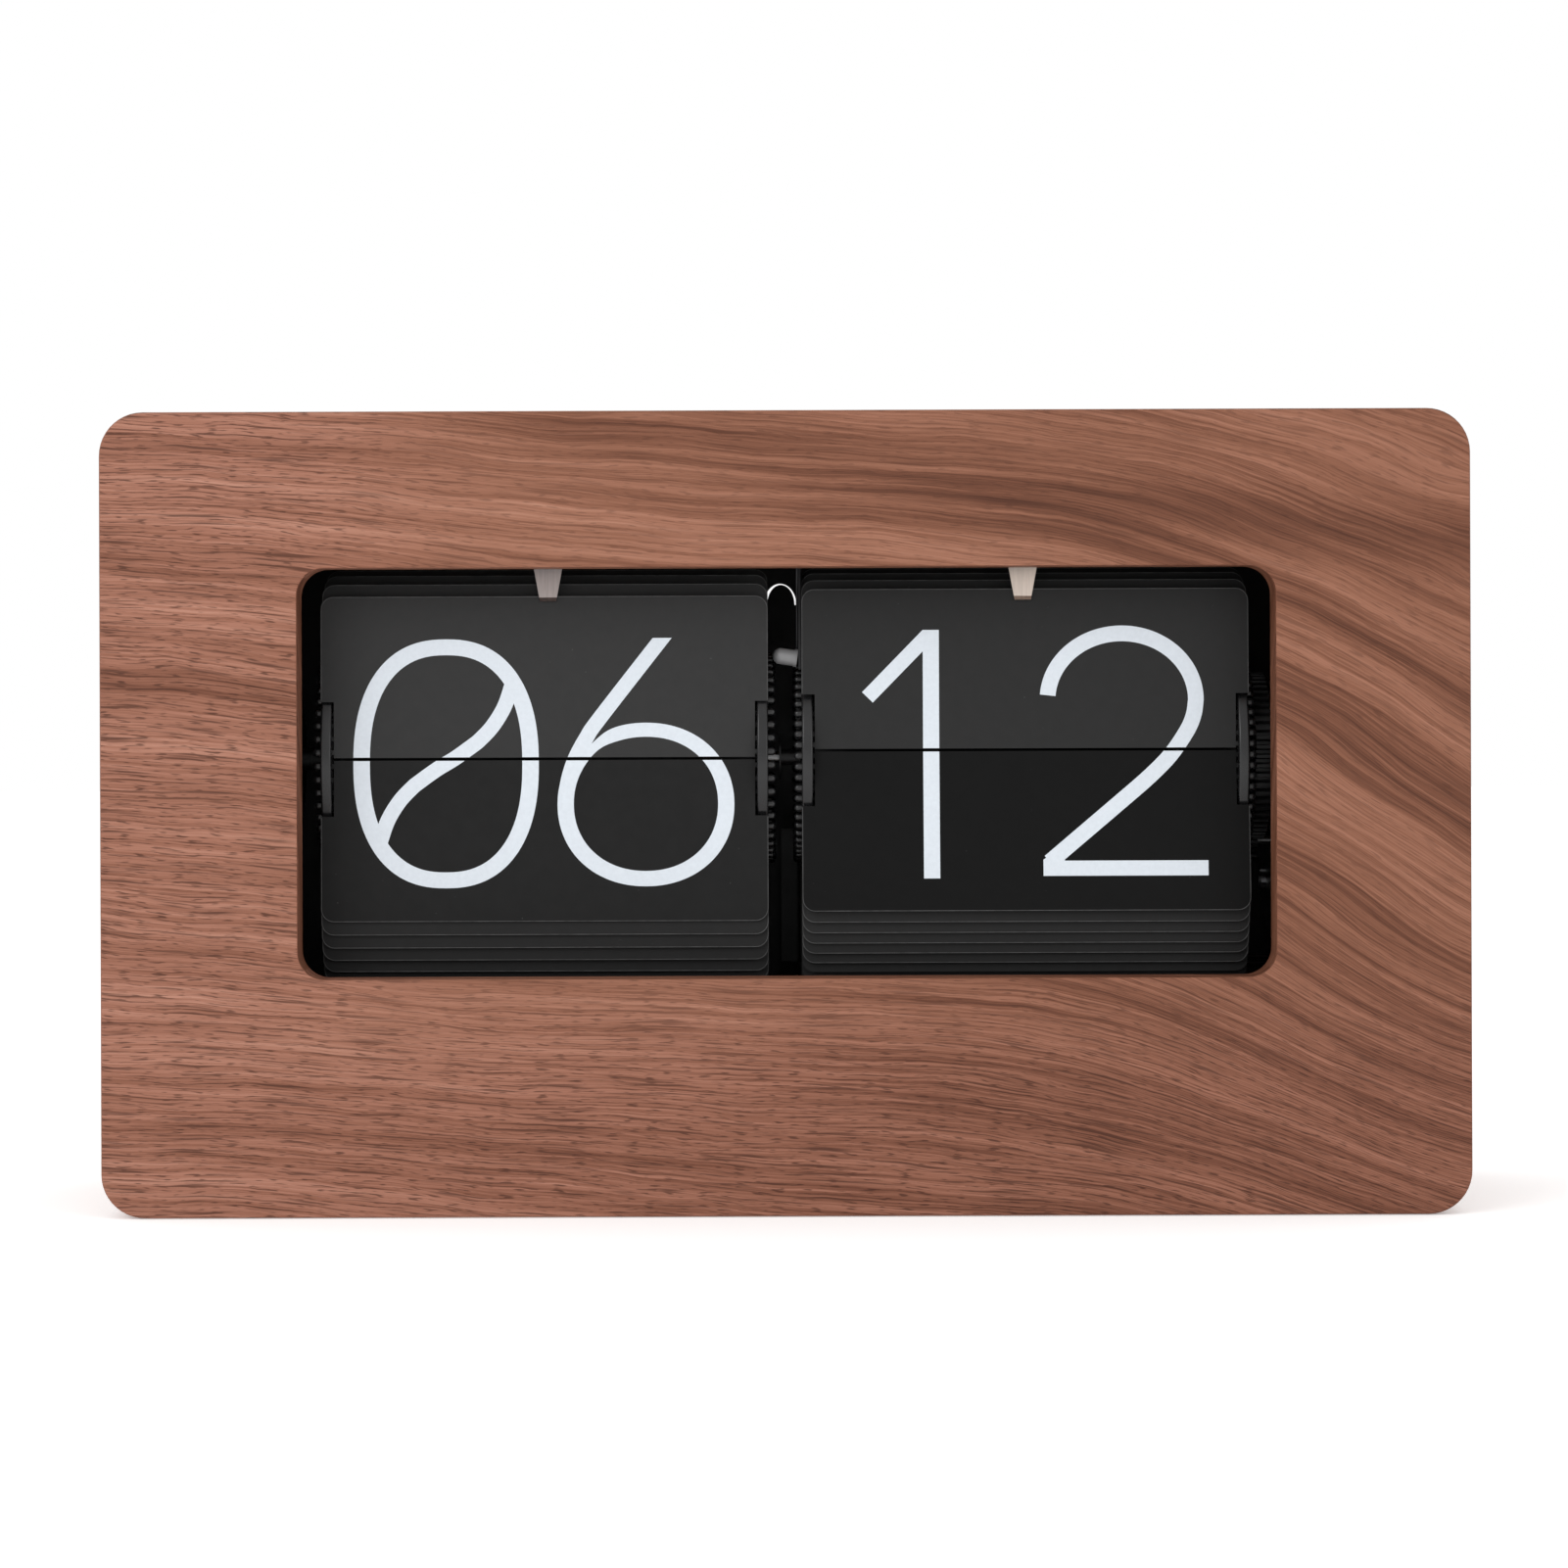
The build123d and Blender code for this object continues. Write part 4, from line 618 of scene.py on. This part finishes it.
ink = Shader("printed_ink")
ink_cloud = ink.noise(ink.points(), 0.9, 4, 0.6)
ink.set(Base_Color=ink.ramp(ink_cloud, [(0.3, srgb(201, 208, 215)), (0.7, srgb(208, 215, 222))]))
ink.set(Roughness=ink.grey(ink_cloud, (0.3, 0.46), (0.7, 0.6)))
ink.set(Specular_IOR_Level=0.35)
ink.bump(ink.noise(ink.points(), 5.0, 3, 0.6), 0.15, 0.02 * MM)


def lay_on_leaf(mesh, pivot, lean, face, flip):
    """Move a flat mesh onto a leaf.

    pivot is the leaf's pivot in metres and lean its angle back from upright, in radians. face
    is 1 for the leaf's front side and -1 for its back. With flip, a point below the pivot goes
    to the same distance along the leaf, so that it reads right when the leaf hangs.
    """
    along = Vector((0, math.sin(lean), math.cos(lean)))
    normal = Vector((0, -math.cos(lean), math.sin(lean)))
    pivot = Vector(pivot)
    for v in mesh.vertices:
        out = -v.co.y
        run = v.co.z * MM - pivot.z
        run = -run if flip else run
        lift = LEAF_HALF + (INK_OFF + INK_T * (out + 1) / 2) * MM
        v.co = Vector((v.co.x * MM, pivot.y, pivot.z)) + along * run + normal * (face * lift)


def drum_pivot(joint, turn):
    """Pivot of the leaf that stands turn degrees above the front leaf of a drum."""
    axis = Vector(joints["minute_drum_turn"]["pos_m"])
    at = Vector(joints[joint]["pos_m"])
    return axis + Matrix.Rotation(math.radians(-turn), 3, "X") @ (at - axis)


# pitch is the angle between neighbouring leaves, tail a leaf's length below its pivot, and
# lean, next_lean and tilt the angles of the standing, the next and the hanging leaf. Each
# hanging leaf's tilt past 180 fades by TILT_FADE from the one in front of it.
FOOT_GAP = 0.1
HOUR_TENS_X, HOUR_UNITS_X = -90.6, -37.2
MINUTE_TENS_X, MINUTE_UNITS_X = 39.1, 90.1
TILT_FADE = 0.45
DRUMS = {
    "hour": dict(pitch=7.5, tail=1.46, lean=1.0, next_lean=6.4, tilt=181.0,
                 now=[zero(HOUR_TENS_X), six(HOUR_UNITS_X)],
                 then=[zero(HOUR_TENS_X), seven(HOUR_UNITS_X)]),
    "minute": dict(pitch=6.0, tail=1.1, lean=1.33, next_lean=7.33, tilt=185.5,
                   now=[one(MINUTE_TENS_X), two(MINUTE_UNITS_X)],
                   then=[one(MINUTE_TENS_X), three(MINUTE_UNITS_X)]),
}


def ride_leaf(name, mesh, body, material):
    """Add a finished mesh to the body that carries its leaf."""
    obj = bpy.data.objects.new(name, mesh)
    scene.collection.objects.link(obj)
    obj.data.materials.append(material)
    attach(obj, body)


def print_digits(name, body, glyphs, band, pivot, lean, face, flip):
    """Print the part of the glyphs that lies in a band of heights onto one leaf."""
    mesh = digits_mesh(name, glyphs, *band)
    lay_on_leaf(mesh, pivot, math.radians(lean), face, flip)
    ride_leaf(name, mesh, body, ink.mat)


for drum, d in DRUMS.items():
    joint = f"{drum}_leaf_flip"
    front = drum_pivot(joint, 0)
    below = drum_pivot(joint, -d["pitch"])
    behind = drum_pivot(joint, d["pitch"])
    reach = d["tail"] - FOOT_GAP
    upper = (front.z / MM - reach, DIGIT_HIGH)
    lower = (DIGIT_LOW, below.z / MM + reach)
    after = (behind.z / MM - reach, DIGIT_HIGH)
    back = (DIGIT_LOW, front.z / MM + reach)
    print_digits(f"{drum}_print_upper", f"{drum}_leaf", d["now"], upper, front, d["lean"], 1, False)
    print_digits(f"{drum}_print_lower", "clock_case", d["now"], lower, below, d["tilt"], -1, True)
    print_digits(f"{drum}_print_next", "clock_case", d["then"], after, behind, d["next_lean"], 1, False)
    print_digits(f"{drum}_print_back", f"{drum}_leaf", d["then"], back, front, d["lean"], -1, True)


# ---------------------------------------------------------------- painted highlights on leaf edges
# The cut edge of each leaf in view gets a painted highlight: a thin pale line round its free end.

rim_highlight_paint = Shader("leaf_rim_painted_highlight")
rim_cloud = rim_highlight_paint.noise(rim_highlight_paint.points(), 0.35, 4, 0.65)
rim_highlight_paint.set(Base_Color=rim_highlight_paint.grey(rim_cloud, (0.35, 0.020), (0.65, 0.060)))
rim_highlight_paint.set(Roughness=rim_highlight_paint.grey(rim_cloud, (0.3, 0.45), (0.7, 0.6)))

RIM_W = 0.18
RIM_INSET = 0.16
LEAF_END = 41.7
LEAF_ROUND = 3.3
NOTCH_TOP = 13.8
SEEN_ABOVE = 3
SEEN_BELOW = 6
ARC_STEPS = 8
QUARTER = [math.radians(90 * k / ARC_STEPS) for k in range(ARC_STEPS + 1)]


def rim_path(low_x, high_x, end):
    """Outline of a leaf's free end, from one notch round to the other."""
    r = LEAF_ROUND
    left = [(low_x + r - r * math.cos(a), end - r + r * math.sin(a)) for a in QUARTER]
    right = [(high_x - r + r * math.sin(a), end - r + r * math.cos(a)) for a in QUARTER]
    return [(low_x, NOTCH_TOP)] + left + right + [(high_x, NOTCH_TOP)]


def edge_line(name, body, node, pivot, lean, face, flip):
    """Painted highlight: a pale line on one leaf, taken from the width of its CAD node."""
    low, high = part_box(node)
    path = rim_path(low[0] / MM + RIM_INSET, high[0] / MM - RIM_INSET, LEAF_END - RIM_INSET)
    start = pivot[2] / MM
    path = [(px, start - run if flip else start + run) for px, run in path]
    bm = bmesh.new()
    band_solid(bm, *stroke(path, RIM_W))
    mesh = mesh_from(name, bm)
    lay_on_leaf(mesh, pivot, math.radians(lean), face, flip)
    ride_leaf(name, mesh, body, rim_highlight_paint.mat)


for drum, d in DRUMS.items():
    joint = f"{drum}_leaf_flip"
    standing = f"{drum}_flip_leaf"
    edge_line(f"{drum}_rim_upper", f"{drum}_leaf", standing, drum_pivot(joint, 0), d["lean"], 1, False)
    for k in range(SEEN_BELOW):
        tilt = 180 + (d["tilt"] - 180) * TILT_FADE ** k
        edge_line(f"{drum}_rim_lower_{k + 1}", "clock_case", f"{drum}_lower_leaf",
                  drum_pivot(joint, -d["pitch"] * (k + 1)), tilt, -1, True)
    for k in range(1, SEEN_ABOVE + 1):
        lean = d["next_lean"] + (k - 1) * d["pitch"]
        edge_line(f"{drum}_rim_next_{k}", "clock_case", standing,
                  drum_pivot(joint, d["pitch"] * k), lean, 1, False)


# ---------------------------------------------------------------- floor

FLOOR_HALF = 6.0
FLOOR_DROP = 0.2 * MM

floor_bm = bmesh.new()
bmesh.ops.create_grid(floor_bm, x_segments=4, y_segments=4, size=FLOOR_HALF)
floor = bpy.data.objects.new("floor", mesh_from("floor", floor_bm))
scene.collection.objects.link(floor)
floor.location.z = cad_box[0][2] - FLOOR_DROP
paper = Shader("paper_floor")
paper_cloud = paper.noise(paper.points(), 0.002, 2, 0.5)
paper.set(Base_Color=paper.grey(paper_cloud, (0.3, 0.93), (0.7, 0.95)))
paper.set(Roughness=0.9, Specular_IOR_Level=0.0)
paper.set(Emission_Color=WHITE, Emission_Strength=0.25)
floor.data.materials.append(paper.mat)
